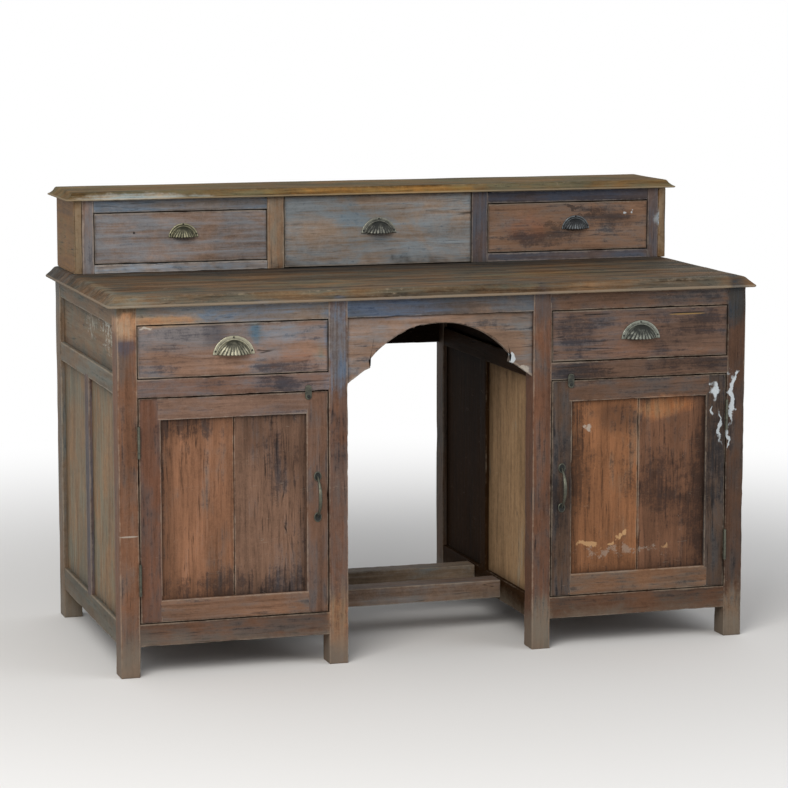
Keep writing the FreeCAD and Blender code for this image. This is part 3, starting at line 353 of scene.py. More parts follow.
class Paint:
    """The graph of one material, or of the sky."""

    def __init__(self, name, tree=None):
        if tree is None:
            self.material = bpy.data.materials.new(name)
            self.material.use_nodes = True
        self.tree = tree or self.material.node_tree
        self.tree.nodes.clear()

    def node(self, kind, settings, inputs, out=0):
        """Adds a node: settings first, then the values or wires of its inputs."""
        made = self.tree.nodes.new(kind)
        for key, value in settings.items():
            setattr(made, key, value)
        for key, value in inputs.items():
            if isinstance(value, Wire):
                self.tree.links.new(value.socket, made.inputs[key])
            else:
                made.inputs[key].default_value = value
        return Wire(self, made.outputs[out]) if made.outputs else None

    def place(self):
        """Object coordinates, in metres."""
        return self.node("ShaderNodeTexCoord", {}, {}, "Object")

    def attribute(self, name, out):
        return self.node("ShaderNodeAttribute", {"attribute_name": name}, {}, out)

    def parts(self, vector):
        """The X, Y and Z of a vector, as three wires."""
        made = self.node("ShaderNodeSeparateXYZ", {}, {0: vector})
        return [made.other(axis) for axis in "XYZ"]

    def noise(self, place, scale, detail, rough, warp=0.0):
        """Noise, moved so that it is centred on 0 with most values between -1 and 1."""
        inputs = {"Vector": place, "Scale": scale, "Detail": detail, "Roughness": rough,
                  "Distortion": warp}
        return (self.node("ShaderNodeTexNoise", {}, inputs) - 0.5) * 4.0

    def vector(self, operation, first, second):
        return self.node("ShaderNodeVectorMath", {"operation": operation}, {0: first, 1: second})

    def times(self, first, second):
        """Two colours or vectors multiplied part by part."""
        return self.vector("MULTIPLY", first, second)

    def length(self, vector):
        return self.vector("LENGTH", vector, (0, 0, 0)).other("Value")

    def mix(self, first, second, share):
        """first turned into second by share, in colour: the Mix node's sockets 6, 7 and 2."""
        first = first if isinstance(first, Wire) else (*first, 1.0)
        second = second if isinstance(second, Wire) else (*second, 1.0)
        return self.node("ShaderNodeMix", {"data_type": "RGBA", "clamp_factor": True},
                         {0: share, 6: first, 7: second}, 2)

    def blend(self, first, second, share):
        """One shader turned into another by share."""
        return self.node("ShaderNodeMixShader", {}, {0: share, 1: first, 2: second})

    def seen_directly(self):
        """1 for what the camera sees straight on, in a gloss or through glass, and 0 for light."""
        eye = self.node("ShaderNodeLightPath", {}, {}, "Is Camera Ray")
        gloss, glass = eye.other("Is Glossy Ray"), eye.other("Is Transmission Ray")
        return eye.math("MAXIMUM", gloss).math("MAXIMUM", glass)

    def finish(self, colour, roughness, bump, depth, metal=0.0, specular=0.5):
        """The Principled shader over a bump whose depth is in metres."""
        normal = self.node("ShaderNodeBump", {}, {"Height": bump, "Distance": depth,
                                                  "Strength": 1.0})
        shader = self.node("ShaderNodeBsdfPrincipled", {}, {
            "Base Color": colour, "Roughness": roughness, "Metallic": metal,
            "Specular IOR Level": specular, "Normal": normal})
        self.node("ShaderNodeOutputMaterial", {}, {"Surface": shader})
        return self.material


def srgb(red, green, blue):
    """A colour as a screen shows it, 0 to 255, turned into light: each share c becomes
    ((c + 0.055) / 1.055) ** 2.4."""
    shares = (np.array([red, green, blue]) / 255 + 0.055) / 1.055
    return tuple(float(share) for share in shares ** 2.4)


print("worn orange wood is", [round(c, 3) for c in srgb(159, 128, 103)])

# %% [markdown]
# ## Old wood
# Every board brings its own colour, the tint, and the recipe only multiplies it, so the tint
# stays the mean. The finish is built up as it came about. First the wood: slow changes, streaks
# along the grain and short dark pores. Then what lay on it: a film of cool paint that alternates
# with warm bare wood, and soot. Then what wore it: long cracks, flakes and nicks, pale rubbed
# edges, thin scratches, and dust at the feet. Last come single marks at their own places, such
# as a run of white paint. A picture of wood could be laid on each board instead, but it would
# repeat and stretch; noise on the attributes follows every board's own grain.

# %% The noises of old wood
# Along the grain: cells per metre along and across it, then detail, roughness and warp.
GRAIN = {"slow": (2.4, 13.0, 3.0, 0.6, 0.6), "streak": (4.0, 90.0, 4.0, 0.65, 0.4),
         "fine": (26.0, 460.0, 3.0, 0.6, 0.0), "cloud": (6.0, 16.0, 5.0, 0.65, 0.7),
         "dash": (13.0, 190.0, 3.0, 0.6, 0.5), "band": (3.0, 30.0, 4.0, 0.6, 0.5),
         "cleft": (2.2, 34.0, 2.0, 0.5, 0.3)}
# Alike in all directions: cells per metre, detail, roughness and warp.
SPOTS = {"blot": (7.0, 5.0, 0.62, 0.6), "crumb": (75.0, 4.0, 0.7, 0.3),
         "speck": (260.0, 3.0, 0.7, 0.0)}
SCRATCH = (5.0, 5.0, 40.0)  # cells per metre: flat ones, so that the scratches lie level
TEAR = (0.045,) * 3  # how far flaky marks are torn apart, in metres
WARM, COOL = (1.24, 0.97, 0.76), (0.84, 1.0, 1.14)  # bare wood, and wood under a film of paint
CLEAN, SOOTY = (1.06, 1.06, 1.06), (0.34, 0.36, 0.42)
RUBBED, DUST = srgb(168, 152, 132), srgb(114, 105, 92)
WOOD_ROUGH, WOOD_BUMP = 0.645, 0.0004


def noises(p):
    """All noises of one wood by name, and the Object coordinates that the even ones lie on."""
    grain, place = p.attribute("grain", "Vector"), p.place()
    made = {name: p.noise(p.times(grain, (along, across, across)), 1.0, *rest)
            for name, (along, across, *rest) in GRAIN.items()}
    made |= {name: p.noise(place, *settings) for name, settings in SPOTS.items()}
    return SimpleNamespace(place=place, **made)


print(len(GRAIN), "noises along the grain and", len(SPOTS), "in all directions")

# %% [markdown]
# The wood itself is its tint times a tone near 1. What lay on it multiplies it once more: a
# film of paint turns it cool where warm wood doesn't show through, and soot turns it dark. Mix
# nodes set to Overlay or Multiply could do this, but a product of few shares keeps the tint.


# %% The wood and what lay on it
def bare_wood(p, n, tint, streaky, bands):
    """The tint times 1 plus a sum of noises, darker in the short dashes of its pores."""
    tone = n.slow * 0.24 + n.streak * (0.3 * streaky) + n.cloud * 0.2 + n.crumb * 0.16
    tone = tone + n.speck * 0.12 + n.band * bands + 1.0
    pores = (n.dash + n.slow * 0.4).between(0.35, 1.0)
    tone = tone * (1.0 - pores * (0.38 * streaky))
    return p.times(tint, tone.math("MAXIMUM", 0.3))


def film_and_soot(p, n, wood, painted, smoky):
    """Film, soot and the finest pores over the wood, and the film's own share."""
    film = n.cloud * 0.55 + n.blot * 0.4 + n.streak * 0.35 + painted * 2.0
    film = (film - 1.0).between(-0.45, 0.45)
    wood = p.times(wood, p.mix(WARM, COOL, film))
    soot = n.blot * 0.28 + n.cloud * 0.3 + n.streak * 0.45 + n.crumb * 0.4 + n.dash * 0.3
    soot = (soot + n.speck * 0.25 + smoky * 1.6 - 0.8).between(-0.1, 0.8)
    wood = p.times(wood, p.mix(CLEAN, SOOTY, soot))
    return p.times(wood, 1.0 - (n.fine * -1.0).between(0.2, 1.3) * 0.4), film


print("soot leaves", SOOTY, "of the light, red to blue")

# %% [markdown]
# Knocks and rubbing bring out paler wood. Flakes and nicks are where a noise is highest or
# lowest. Cracks and scratches are thin because they follow the lines on which a noise is zero,
# which a plain threshold on a noise could never make so fine. Edges are rubbed by the edge
# attribute, so that the wear sits on real corners from every side.


# %% What wore it
def worn_wood(p, n, wood, pale, edge, smoky, worn):
    """Flakes, nicks, cracks, rubbed edges and scratches over the wood, and the shares of
    those that the bump needs."""
    flake = (n.crumb * 0.8 + n.cloud * 0.35 + worn * 0.6).between(1.0, 1.4)
    wood = p.mix(wood, pale, flake * 0.6)
    nick = (n.crumb * -0.8 + n.blot * 0.3 + smoky * 0.4).between(0.95, 1.4)
    wood = p.times(wood, 1.0 - nick * 0.55)
    crack = 1.0 - n.cleft.math("ABSOLUTE").between(0.0, 0.035)
    crack = crack * (n.slow + n.cloud * 0.4).between(0.45, 0.65)
    wood = p.times(wood, 1.0 - crack * 0.75)
    rub = (edge * 1.3 + n.crumb * 0.35 + n.blot * 0.4 + worn - 1.05).between(0.2, 0.9)
    wood = p.mix(wood, pale, rub * 0.65)
    scratch = p.noise(p.times(n.place, SCRATCH), 1.0, 2.0, 0.5, 1.5).math("ABSOLUTE")
    line = (1.0 - scratch.between(0.0, 0.022)) * n.crumb.between(-0.2, 0.9)
    return p.mix(wood, pale, line * 0.5), flake, crack, line


def add_marks(p, n, wood, marks):
    """A mark is (centre, reach, colour, strength, flaky): an ellipsoid in millimetres. Its rim
    is where the length of (place - centre) / reach is 1, broken up the more the flakier it is."""
    shove = p.node("ShaderNodeTexNoise", {}, {"Vector": n.place, "Scale": 38.0, "Detail": 4.0},
                   "Color")
    torn = p.vector("ADD", n.place, p.times(p.vector("SUBTRACT", shove, (0.5, 0.5, 0.5)), TEAR))
    fleck = (n.speck + n.streak).math("ABSOLUTE")
    for centre, reach, colour, strength, flaky in marks:
        centre, reach = (tuple(value / 1000 for value in row) for row in (centre, reach))
        away = p.vector("SUBTRACT", torn if flaky else n.place, centre)
        far = p.length(p.vector("DIVIDE", away, reach))
        far = far + n.crumb * (0.12 + 0.35 * flaky) + fleck * (0.35 * flaky)
        wood = p.mix(wood, srgb(*colour), (far * -1.0).between(-1.08, -0.72) * strength)
    return wood


print("flaky marks are torn apart by up to", TEAR[0] * 500, "mm")


# %% The whole recipe
def old_wood(name, marks=(), streaky=1.0, gloss=0.15, bands=0.08):
    """All layers, one over the other: the tint with its frayed patches, the wood, film and
    soot, wear, dust near the floor, and marks."""
    p = Paint(name)
    n = noises(p)
    patch, edge = p.attribute("patch", "Color"), p.attribute("edge", "Fac")
    painted, smoky, worn = p.parts(p.attribute("look", "Vector"))
    fray = n.streak * 0.26 + n.cloud * 0.2 + n.crumb * 0.3 + n.speck * 0.15
    amount = (patch.other("Alpha") + fray * 0.5).between(0.1, 0.95)
    tint = p.mix(p.attribute("tint", "Vector"), patch, amount)
    pale = p.mix(p.times(tint, (1.5, 1.5, 1.5)), RUBBED, 0.4)
    wood = bare_wood(p, n, tint, streaky, bands)
    wood, film = film_and_soot(p, n, wood, painted, smoky)
    wood, flake, crack, line = worn_wood(p, n, wood, pale, edge, smoky, worn)
    height = p.parts(n.place)[2]
    dust = (height * -1.0 + n.blot * 0.025 + n.crumb * 0.01).between(-0.1, -0.03)
    wood = add_marks(p, n, p.mix(wood, DUST, dust * 0.6), marks)
    rough = WOOD_ROUGH + n.streak * 0.05 + film * 0.06
    bump = n.fine * 0.35 + n.streak * 0.5 + n.crumb * 0.25 + film * 0.3
    bump = bump - line * 0.6 - crack * 1.5 + flake * 0.3
    return p.finish(wood, rough, bump, WOOD_BUMP, specular=gloss)


WOODS = {"inside_wood": old_wood("inside_wood"),
         "top_wood": old_wood("top_wood", streaky=1.8, gloss=0.03, bands=0.6),
         "shade_wood": old_wood("shade_wood", gloss=0.02)}
print("a wood without marks has", len(WOODS["inside_wood"].node_tree.nodes), "nodes")

# %% [markdown]
# ## Metals
# The cup pulls are cast, with a pale, rubbed flange and dark hollows, and a painted shadow where
# the ring overhangs the top of the shell. The bow pulls, turn buttons and hinges are iron gone
# grey-green and dark. A pointiness map could find the hollows, but the shapes below know their own,
# and hand them over in the attribute named edge, which on the cup pulls also carries that painted
# shadow.


# %% Cast pulls and iron
def old_metal(name, colour, dark, rough, amount):
    """A metal whose tarnish gathers by noise and, where the mesh says so, in its hollows; on the
    cup pulls the same mesh values also paint a shadow under the ring.
    """
    p = Paint(name)
    cloud, grit = p.noise(p.place(), 90.0, 4.0, 0.6, 0.3), p.noise(p.place(), 900.0, 3.0, 0.6)
    # The edge attribute gives the hollows, and on the cup pulls it also gives a painted shadow
    # under the ring.
    hollow = p.attribute("edge", "Fac")
    tarnish_and_shade = (cloud * 0.4 + grit * 0.15 + hollow * 1.15 + amount).between(0.1, 1.2)
    return p.finish(p.mix(srgb(*colour), srgb(*dark), tarnish_and_shade), tarnish_and_shade * 0.3 + rough,
                    grit * 0.5 + cloud, 0.0001, metal=1.0 - tarnish_and_shade * 0.55)


CAST = {"drawer_left": old_metal("cast_pale", (158, 154, 134), (44, 44, 34), 0.36, 0.2),
        "drawer_right": old_metal("cast_grey", (128, 130, 120), (36, 38, 34), 0.38, 0.35),
        "gallery_drawer_left": old_metal("cast_olive", (140, 136, 112), (46, 46, 34), 0.38, 0.3),
        "gallery_drawer_middle": old_metal("cast_dim", (124, 124, 114), (36, 38, 36), 0.38, 0.35),
        "gallery_drawer_right": old_metal("cast_steel", (98, 102, 104), (30, 32, 34), 0.36, 0.4)}
IRON = old_metal("dark_iron", (100, 100, 88), (32, 34, 32), 0.42, 0.45)
print(len(CAST), "cast metals and one iron")

# %% [markdown]
# ## Which board looks how
# The real boards come from different old things, so each has a colour of its own. Each row gives a
# node its shares of paint, smoke and wear, then the colours of its boards in their order, as the
# photograph shows them in its soft light, and so some of them hold painted shade: the nodes on the
# right are darker partly by painted shade, as the light falls from the left, and the kneehole's
# inner walls and back board are near black by painted shade. Where no row names a node, it is bare
# wood. Zones colour larger patches: ellipsoids in millimetres, with a colour and a strength; where
# two meet, the stronger one counts. They could be painted by hand in Texture Paint, but a short
# list of places is easier to change, and the recipe's noise frays every rim. Soot is listed in the
# same way, by how much smoke it adds.

# %% Colours of the boards
# Painted shade: the rows on the right are darker partly by painted shade, and the kneehole's inner
# boards are near black by painted shade.
PALETTE = {
    "front_post_left_outer": (0.45, 0.38, 0.45, (99, 77, 64)),
    "front_post_left_inner": (0.5, 0.38, 0.45, (92, 72, 62)),
    "front_post_right_inner": (0.4, 0.45, 0.4, (89, 68, 57)),
    "front_post_right_outer": (0.45, 0.5, 0.3, (69, 55, 47)),
    "front_rails_left": (0.5, 0.42, 0.45, (110, 105, 101), (100, 84, 78), (84, 67, 57)),
    "front_rails_right": (0.4, 0.5, 0.4, (89, 75, 67), (83, 71, 65), (76, 59, 48)),
    "kneehole_rail": (0.65, 0.42, 0.35, (82, 79, 79)),
    "kneehole_apron": (0.45, 0.35, 0.6, (115, 103, 96)),
    # Painted shade: the back board is near black because it lies deep in the kneehole.
    "kneehole_back_board": (0.1, 0.5, 0.1, (26, 20, 14)),
    "kneehole_stretchers": (0.4, 0.25, 0.5, (99, 90, 84), (113, 108, 100)),
    "drawer_left_front": (0.5, 0.42, 0.5, (116, 101, 94)),
    "drawer_right_front": (0.4, 0.52, 0.5, (91, 79, 74)),
    "door_left_frame": (0.4, 0.42, 0.45, (91, 75, 67), (89, 67, 57), (104, 86, 75), (99, 86, 81)),
    "door_right_frame": (0.45, 0.5, 0.45, (72, 62, 56), (67, 59, 54), (108, 88, 73), (84, 70, 62)),
    "door_left_panel": (0.3, 0.42, 0.4, (98, 83, 75), (112, 88, 73)),
    "door_right_panel": (0.25, 0.45, 0.45, (118, 89, 67), (90, 70, 58)),
    "outer_wall_panels_left": (0.5, 0.3, 0.6, (103, 90, 73), (118, 101, 79), (110, 97, 78)),
    "outer_wall_rails_left": (0.55, 0.35, 0.55, (90, 81, 68), (99, 90, 77), (93, 84, 71),
                              (81, 71, 69)),
    "outer_wall_panels_right": (0.5, 0.35, 0.5, (104, 90, 74), (108, 90, 70), (104, 88, 70)),
    "outer_wall_rails_right": (0.5, 0.4, 0.5, (90, 76, 66), (94, 80, 70), (90, 78, 68),
                               (84, 72, 64)),
    # Painted shade: the kneehole's inner boards are near black, all but the front lower panel on
    # the right.
    "inner_wall_panels_left": (0.1, 0.4, 0.1, (32, 23, 14)),
    "inner_wall_panels_right": (0.2, 0.25, 0.2, (38, 26, 13), (134, 121, 101), (36, 25, 13)),
    "inner_wall_rails_left": (0.1, 0.4, 0.1, (32, 24, 15)),
    "inner_wall_rails_right": (0.1, 0.4, 0.1, (38, 27, 15)),
    "gallery_ends": (0.35, 0.35, 0.5, (94, 77, 53)),
    "gallery_frame": (0.5, 0.35, 0.45, (121, 108, 102), (126, 107, 88), (130, 131, 134),
                      (104, 106, 110), (80, 74, 75), (84, 77, 78), (82, 78, 82), (64, 63, 70)),
    "gallery_drawer_left_front": (0.55, 0.3, 0.55, (122, 112, 107)),
    "gallery_drawer_middle_front": (0.55, 0.35, 0.5, (125, 120, 115)),
    "gallery_drawer_right_front": (0.4, 0.5, 0.5, (111, 95, 84)),
    "gallery_top": (0.5, 0.35, 0.85, (98, 84, 59)),
    "main_top": (0.5, 0.45, 0.85, (93, 80, 65), (87, 75, 61), (75, 67, 59)),
    "back_panels": (0.4, 0.4, 0.4, (104, 90, 72)),
    "back_rails": (0.45, 0.4, 0.4, (92, 80, 70)),
    "back_post_left_outer": (0.5, 0.35, 0.5, (96, 88, 78)),
    "back_post_left_inner": (0.45, 0.4, 0.4, (78, 68, 60)),
    "back_post_right_inner": (0.45, 0.4, 0.4, (78, 68, 60)),
    "back_post_right_outer": (0.45, 0.4, 0.4, (86, 76, 66)),
    "gallery_back": (0.4, 0.4, 0.4, (98, 84, 68)),
}
ZONES = [
    ((-680, -315, 742), (26, 60, 28), (147, 119, 94), 0.9),
    ((229, -310, 60), (24, 60, 60), (110, 94, 78), 0.6),
    ((679, -310, 60), (24, 60, 60), (110, 98, 85), 0.6),
    ((-604, -315, 746), (66, 40, 13), (152, 116, 84), 0.8),
    ((-678, -315, 698), (20, 40, 20), (78, 68, 70), 0.8),
    ((-493, -310, 712), (26, 40, 30), (86, 76, 74), 0.7),
    ((-405, -310, 716), (15, 40, 28), (84, 98, 106), 0.8),
    ((-350, -310, 722), (46, 40, 24), (114, 110, 110), 0.7),
    ((-320, -310, 655), (66, 40, 22), (114, 87, 73), 0.6),
    ((-267, -310, 669), (13, 40, 16), (84, 98, 96), 0.7),
    ((-390, -310, 758), (134, 40, 22), (94, 100, 110), 0.6),
    ((-229, -310, 690), (24, 60, 95), (95, 99, 108), 0.85),
    ((-229, -310, 100), (24, 60, 66), (128, 96, 70), 0.7),
    ((229, -310, 750), (24, 60, 50), (74, 66, 64), 0.8),
    ((679, -310, 745), (24, 60, 56), (45, 49, 53), 0.9),
    ((-100, -310, 760), (116, 40, 24), (80, 84, 95), 0.6),
    ((130, -305, 690), (90, 30, 70), (96, 86, 79), 0.8),
    ((430, -310, 655), (76, 40, 26), (96, 75, 64), 0.5),
    ((610, -310, 650), (40, 40, 16), (102, 80, 65), 0.5),
    ((570, -310, 700), (60, 40, 26), (84, 72, 66), 0.5),
    ((510, -305, 522), (62, 30, 24), (144, 103, 70), 0.8),
    ((408, -305, 500), (50, 30, 38), (62, 50, 44), 0.6),
    ((-400, -305, 500), (44, 30, 44), (76, 60, 52), 0.55),
    ((-330, -305, 470), (34, 30, 70), (84, 68, 60), 0.5),
    ((-690, -310, 788), (60, 40, 40), (94, 92, 82), 0.7),
    ((-692, -190, 797), (10, 230, 8), (112, 107, 92), 0.55),
    ((-560, -250, 800), (110, 14, 8), (112, 104, 86), 0.5),
    ((-150, -322, 795), (500, 10, 12), (104, 92, 72), 0.5),
    ((-260, -200, 800), (150, 60, 30), (110, 92, 68), 0.6),
    ((300, -150, 800), (190, 50, 30), (100, 85, 62), 0.6),
    ((0, 90, 800), (760, 55, 30), (60, 54, 48), 0.7),
    ((-560, 134, 970), (130, 14, 8), (146, 142, 130), 0.9),
    ((0, 136, 972), (260, 12, 12), (118, 93, 54), 0.8),
    ((420, 136, 972), (240, 12, 12), (90, 77, 56), 0.7),
    ((-20, 155, 890), (110, 20, 60), (100, 106, 108), 0.5),
    ((690, 146, 894), (12, 30, 14), (140, 158, 172), 0.8),
    ((360, 155, 880), (60, 20, 34), (124, 90, 72), 0.6),
]
SOOT = [
    ((-590, -310, 655), (50, 30, 26), 0.45), ((-330, -310, 640), (80, 30, 14), 0.4),
    ((300, -310, 690), (44, 30, 40), 0.3), ((600, -310, 695), (50, 30, 34), 0.4),
    ((520, -310, 678), (70, 30, 30), 0.3), ((-290, -310, 700), (30, 30, 34), 0.15),
    ((-350, -310, 606), (60, 30, 18), 0.45), ((-490, -310, 612), (40, 30, 16), 0.35),
    ((330, -310, 604), (60, 30, 22), 0.4), ((560, -310, 612), (80, 30, 14), 0.45),
    ((274, -310, 320), (26, 30, 120), 0.35), ((632, -310, 440), (28, 30, 130), 0.35),
    ((320, -305, 380), (30, 30, 100), 0.3), ((500, -305, 330), (60, 30, 80), 0.35),
    ((590, -305, 300), (28, 30, 140), 0.4), ((-360, -305, 450), (40, 30, 90), 0.3),
    ((-560, -305, 520), (70, 30, 24), 0.35), ((-450, -305, 190), (150, 30, 28), 0.3),
    ((400, 155, 850), (90, 20, 16), 0.4), ((560, 155, 900), (60, 20, 24), 0.35),
    ((-229, -310, 480), (24, 60, 70), 0.3), ((-680, -310, 500), (22, 60, 80), 0.3),
    ((100, -305, 712), (80, 30, 16), 0.35), ((-160, -305, 660), (30, 30, 40), 0.3),
]


print(len(PALETTE), "nodes with their own colours,", len(ZONES), "zones,", len(SOOT), "of soot")

# %% From a point to its look
BARE = (0.3, 0.35, 0.3, (74, 58, 42))  # for nodes without a row
ZONE_RIM, SOOT_RIM = (1.5, 0.85), (1.4, 0.8)  # where a zone ends, and over what share it fades
GROOVE, SHADE_REACH = 0.008, 0.016  # how deep panels sit in their frames, and how far the painted shade at their rim reaches out
GAP_SHADE, GAP_SHADE_DEPTH = 0.003, 0.012  # how wide the painted shadow in a gap is, and how far in front and behind it reaches
GAPS = [box_round(boards_of(node)) for node in sorted(PALETTE)
        if node.startswith("door") and node.endswith("frame") or "drawer" in node]


def reached(points, centre, reach, fray, rim):
    """1 inside an ellipsoid given in millimetres, 0 past its rim: the length d of (point -
    centre) / reach, frayed, gives (end - d) / fade, kept between 0 and 1."""
    far = np.linalg.norm((points * 1000 - centre) / reach, axis=-1) + fray
    return np.clip((rim[0] - far) / rim[1], 0, 1)


def look_of(node, index, panel=None):
    """A function that gives points their shares of paint, smoke and wear, their colour, and the
    colour and amount of a patch. A panel, whose own box is given, turns dark towards the frame
    round it by painted shade, and along the gaps round drawers and doors all wood is darkened by
    painted shadow."""
    row = PALETTE.get(node, BARE)
    shares, colours = np.array(row[:3]), row[3:]
    own = np.array(srgb(*colours[min(index, len(colours) - 1)]))

    def look(points, seed):
        share = np.broadcast_to(shares, points.shape).copy()
        shade = np.random.default_rng(seed).uniform(0.95, 1.05)
        tint = np.broadcast_to(own * shade, points.shape).copy()
        patch = np.concatenate([tint, np.zeros(points.shape[:-1] + (1,))], -1)
        fray = 0.16 * waves(points, 0.08, 77) + 0.12 * waves(points, 0.024, 78)
        for centre, reach, colour, strength in ZONES:
            part = strength * reached(points, centre, reach, fray, ZONE_RIM)[..., None]
            zone = np.concatenate([0 * tint + srgb(*colour), part], -1)
            patch = np.where(part > patch[..., 3:], zone, patch)
            share[..., :1] += part * (0.5 - share[..., :1])
        for centre, reach, more in SOOT:
            share[..., 1] += more * reached(points, centre, reach, fray, SOOT_RIM)
        # Painted shade: a panel is darkened towards the frame round it, as if it were shaded in its
        # recess.
        if panel is not None:
            low, high = panel
            broad = high - low > 0.05
            near = np.minimum(points - low, high - points)[..., broad].min(-1) - GROOVE
            painted_shade = np.exp(-np.maximum(near, 0) / SHADE_REACH)[..., None]
            tint *= 1 - 0.45 * painted_shade
            patch[..., :3] *= 1 - 0.45 * painted_shade
            share[..., 1:2] += 0.2 * painted_shade
        # Painted shadow: wood along the gaps round drawers and doors is darkened as if by the gaps'
        # shade.
        for low, high in GAPS:
            past = np.abs(points - (low + high) / 2) - (high - low) / 2
            flat = past[..., [0, 2]]
            away = np.linalg.norm(np.maximum(flat, 0), axis=-1) + np.minimum(flat.max(-1), 0)
            dark = 1 - 0.6 * np.exp(-(away / GAP_SHADE) ** 2) * (past[..., 1] < GAP_SHADE_DEPTH)
            tint *= dark[..., None]
            patch[..., :3] *= dark[..., None]
        return share, tint, patch

    return look


print(len(GAPS), "drawers and doors have dark gaps round them")

# %% Marks at their own places, and the woods that carry them
WHITE, CREAM, CHIP = (196, 204, 208), (184, 146, 104), (168, 160, 148)
CRACK, STAIN = (30, 26, 24), (48, 40, 38)
MARKS = {
    "frame_wood": [
        ((668, -320, 530), (7, 50, 60), WHITE, 0.8, 0.1),
        ((674, -320, 580), (5, 50, 18), WHITE, 0.8, 0.1),
        ((664, -320, 450), (4, 50, 26), WHITE, 0.7, 0.1),
        ((160, -310, 641), (6, 30, 12), WHITE, 0.7, 0.4),
        ((188, -310, 613), (12, 30, 7), CHIP, 0.7, 0.4),
        ((-680, -320, 300), (22, 50, 2), CHIP, 0.6, 0)],
    "front_wood": [
        ((630, -320, 549), (13, 14, 20), WHITE, 0.8, 0.3),
        ((645, -320, 470), (5, 14, 34), WHITE, 0.7, 0.2),
        ((622, -320, 505), (4, 14, 12), WHITE, 0.7, 0.2),
        ((-644, -320, 732), (12, 14, 4), CHIP, 0.8, 0.1),
        ((600, 147, 905), (5, 14, 3), WHITE, 0.7, 0.2),
        ((622, 147, 903), (4, 14, 3), WHITE, 0.7, 0.2),
        ((352, -320, 728), (34, 14, 1.6), CRACK, 0.9, 0),
        ((560, -320, 725), (48, 14, 1.8), CRACK, 0.9, 0),
        ((562, -320, 722), (46, 14, 1.6), (138, 110, 64), 0.8, 0),
        ((470, 147, 922), (30, 14, 4), (44, 38, 36), 0.7, 1.2),
        ((520, 147, 905), (44, 14, 9), STAIN, 0.6, 2.2),
        ((420, 147, 878), (34, 14, 10), (52, 42, 38), 0.5, 2.2),
        ((-560, 147, 888), (3, 14, 3), (40, 34, 32), 0.9, 0)],
    "panel_wood": [
        ((340, -316, 222), (34, 8, 8), CREAM, 0.7, 0.5),
        ((422, -316, 247), (7, 8, 15), CREAM, 0.8, 0.3),
        ((410, -316, 231), (10, 8, 9), CREAM, 0.8, 0.3),
        ((398, -316, 222), (9, 8, 5), CREAM, 0.7, 0.4),
        ((520, -316, 216), (8, 8, 5), CREAM, 0.5, 0.6),
        ((336, -316, 482), (13, 8, 11), CHIP, 0.7, 0.25),
        ((-700, -190, 712), (16, 84, 44), (176, 176, 166), 0.65, 2.6),
        ((-700, -20, 704), (16, 70, 26), (166, 164, 152), 0.5, 2.6),
        ((420, -316, 205), (90, 8, 12), CHIP, 0.3, 2.5)],
}
for name, streaky in (("frame_wood", 1.3), ("front_wood", 1.3), ("panel_wood", 1.6)):
    WOODS[name] = old_wood(name, MARKS[name], streaky)
    print(name, "has", len(MARKS[name]), "marks")

# %% [markdown]
# ## Plain boards
# All rails, stiles, panels, posts and drawer boards are plain boards, and the solid of each gives
# its box. The boards in the kneehole lie in deep shade and are dull, so they take a wood with
# hardly any gloss. A door's two panel boards share one frame, and so one rim of painted shade.

# %% Make every plain board again
SHAPED = ("main_top", "gallery_top", "kneehole_apron")
SLOTS = {part["node"]: part["material_slot"] for part in frame["record"]["subparts"]}
made_points = 0
for number, (node, slot) in enumerate(sorted(SLOTS.items())):
    if slot in ("brass", "iron") or node in SHAPED:
        continue
    boxes = boards_of(node)
    panels = [box_round(boxes)] * len(boxes) if node.startswith("door") else boxes
    step = COARSE if slot == "inside_wood" or node.startswith("back_") else FINE
    surfaces = []
    for index, (low, high) in enumerate(boxes):
        look = look_of(node, index, panels[index] if slot == "panel_wood" else None)
        surfaces.append(board(low, high, 100 * number + 7 * index, look, step))
    shaded = node.startswith("inner_wall") or node == "kneehole_back_board"
    wood = WOODS["shade_wood" if shaded else slot]
    piece = make_piece(node + "_boards", surfaces, [node], wood)
    made_points += len(piece.data.vertices)
print("plain boards have", made_points, "points")

# %% [markdown]
# ## Tops
# The real tops have a round lip, a long hollow and a soft shoulder along their front and both
# ends. A Bevel modifier takes one profile for all edges and can't leave the back square, so a
# top is made of nested rings: each is the outline of the board, drawn in by the inset of one
# point of the moulding and lifted to its height. Square sides are drawn in only by a small
# rounding. The clipped corners in front get smaller as the rings draw in: a clip of leg c is
# left with c - (2 - sqrt 2) d at the inset d. The writing top is glued up from three boards,
# so its seams are real, thin grooves.

# %% Rings round a moulded board
SQUARE = 0.0005  # rounding of the sides that aren't moulded
CLIP, LEAST, SLANT = 0.006, 0.0004, 0.586  # leg of a clipped corner, its least, and 2 - sqrt 2
BY_CORNER = 0.0008  # one more point this near the corners keeps the seams thin
INNER_RINGS = (0.004, 0.012, 0.03, 0.06, 0.09)  # rings on the flat, past the moulding
UNDER = 0.02  # how far the ring on the underside is drawn in
CHIP_DEPTH, SAG = 0.0012, 0.0003  # depth of the chips, and of the waves on the flat


def ring_rows(profile, deep):
    """Rows of (inset, height, edge value, inset of the square sides), from underneath to the
    middle of the flat. Square sides are rounded at both faces."""
    start, end, top = profile[0][0], profile[-1][0], profile[-1][1]
    rows = [(start + UNDER, 0.0, 0.0, UNDER), (start, 0.0, 0.5, SQUARE)]
    rows += [(inset, height, edge, max(0.0, height - top + SQUARE, SQUARE - height))
             for inset, height, edge in profile[1:]]
    return rows + [(end + flat, top, math.exp(-flat / EDGE_FADE), SQUARE + flat)
                   for flat in INNER_RINGS if flat < deep / 2 - 0.03]


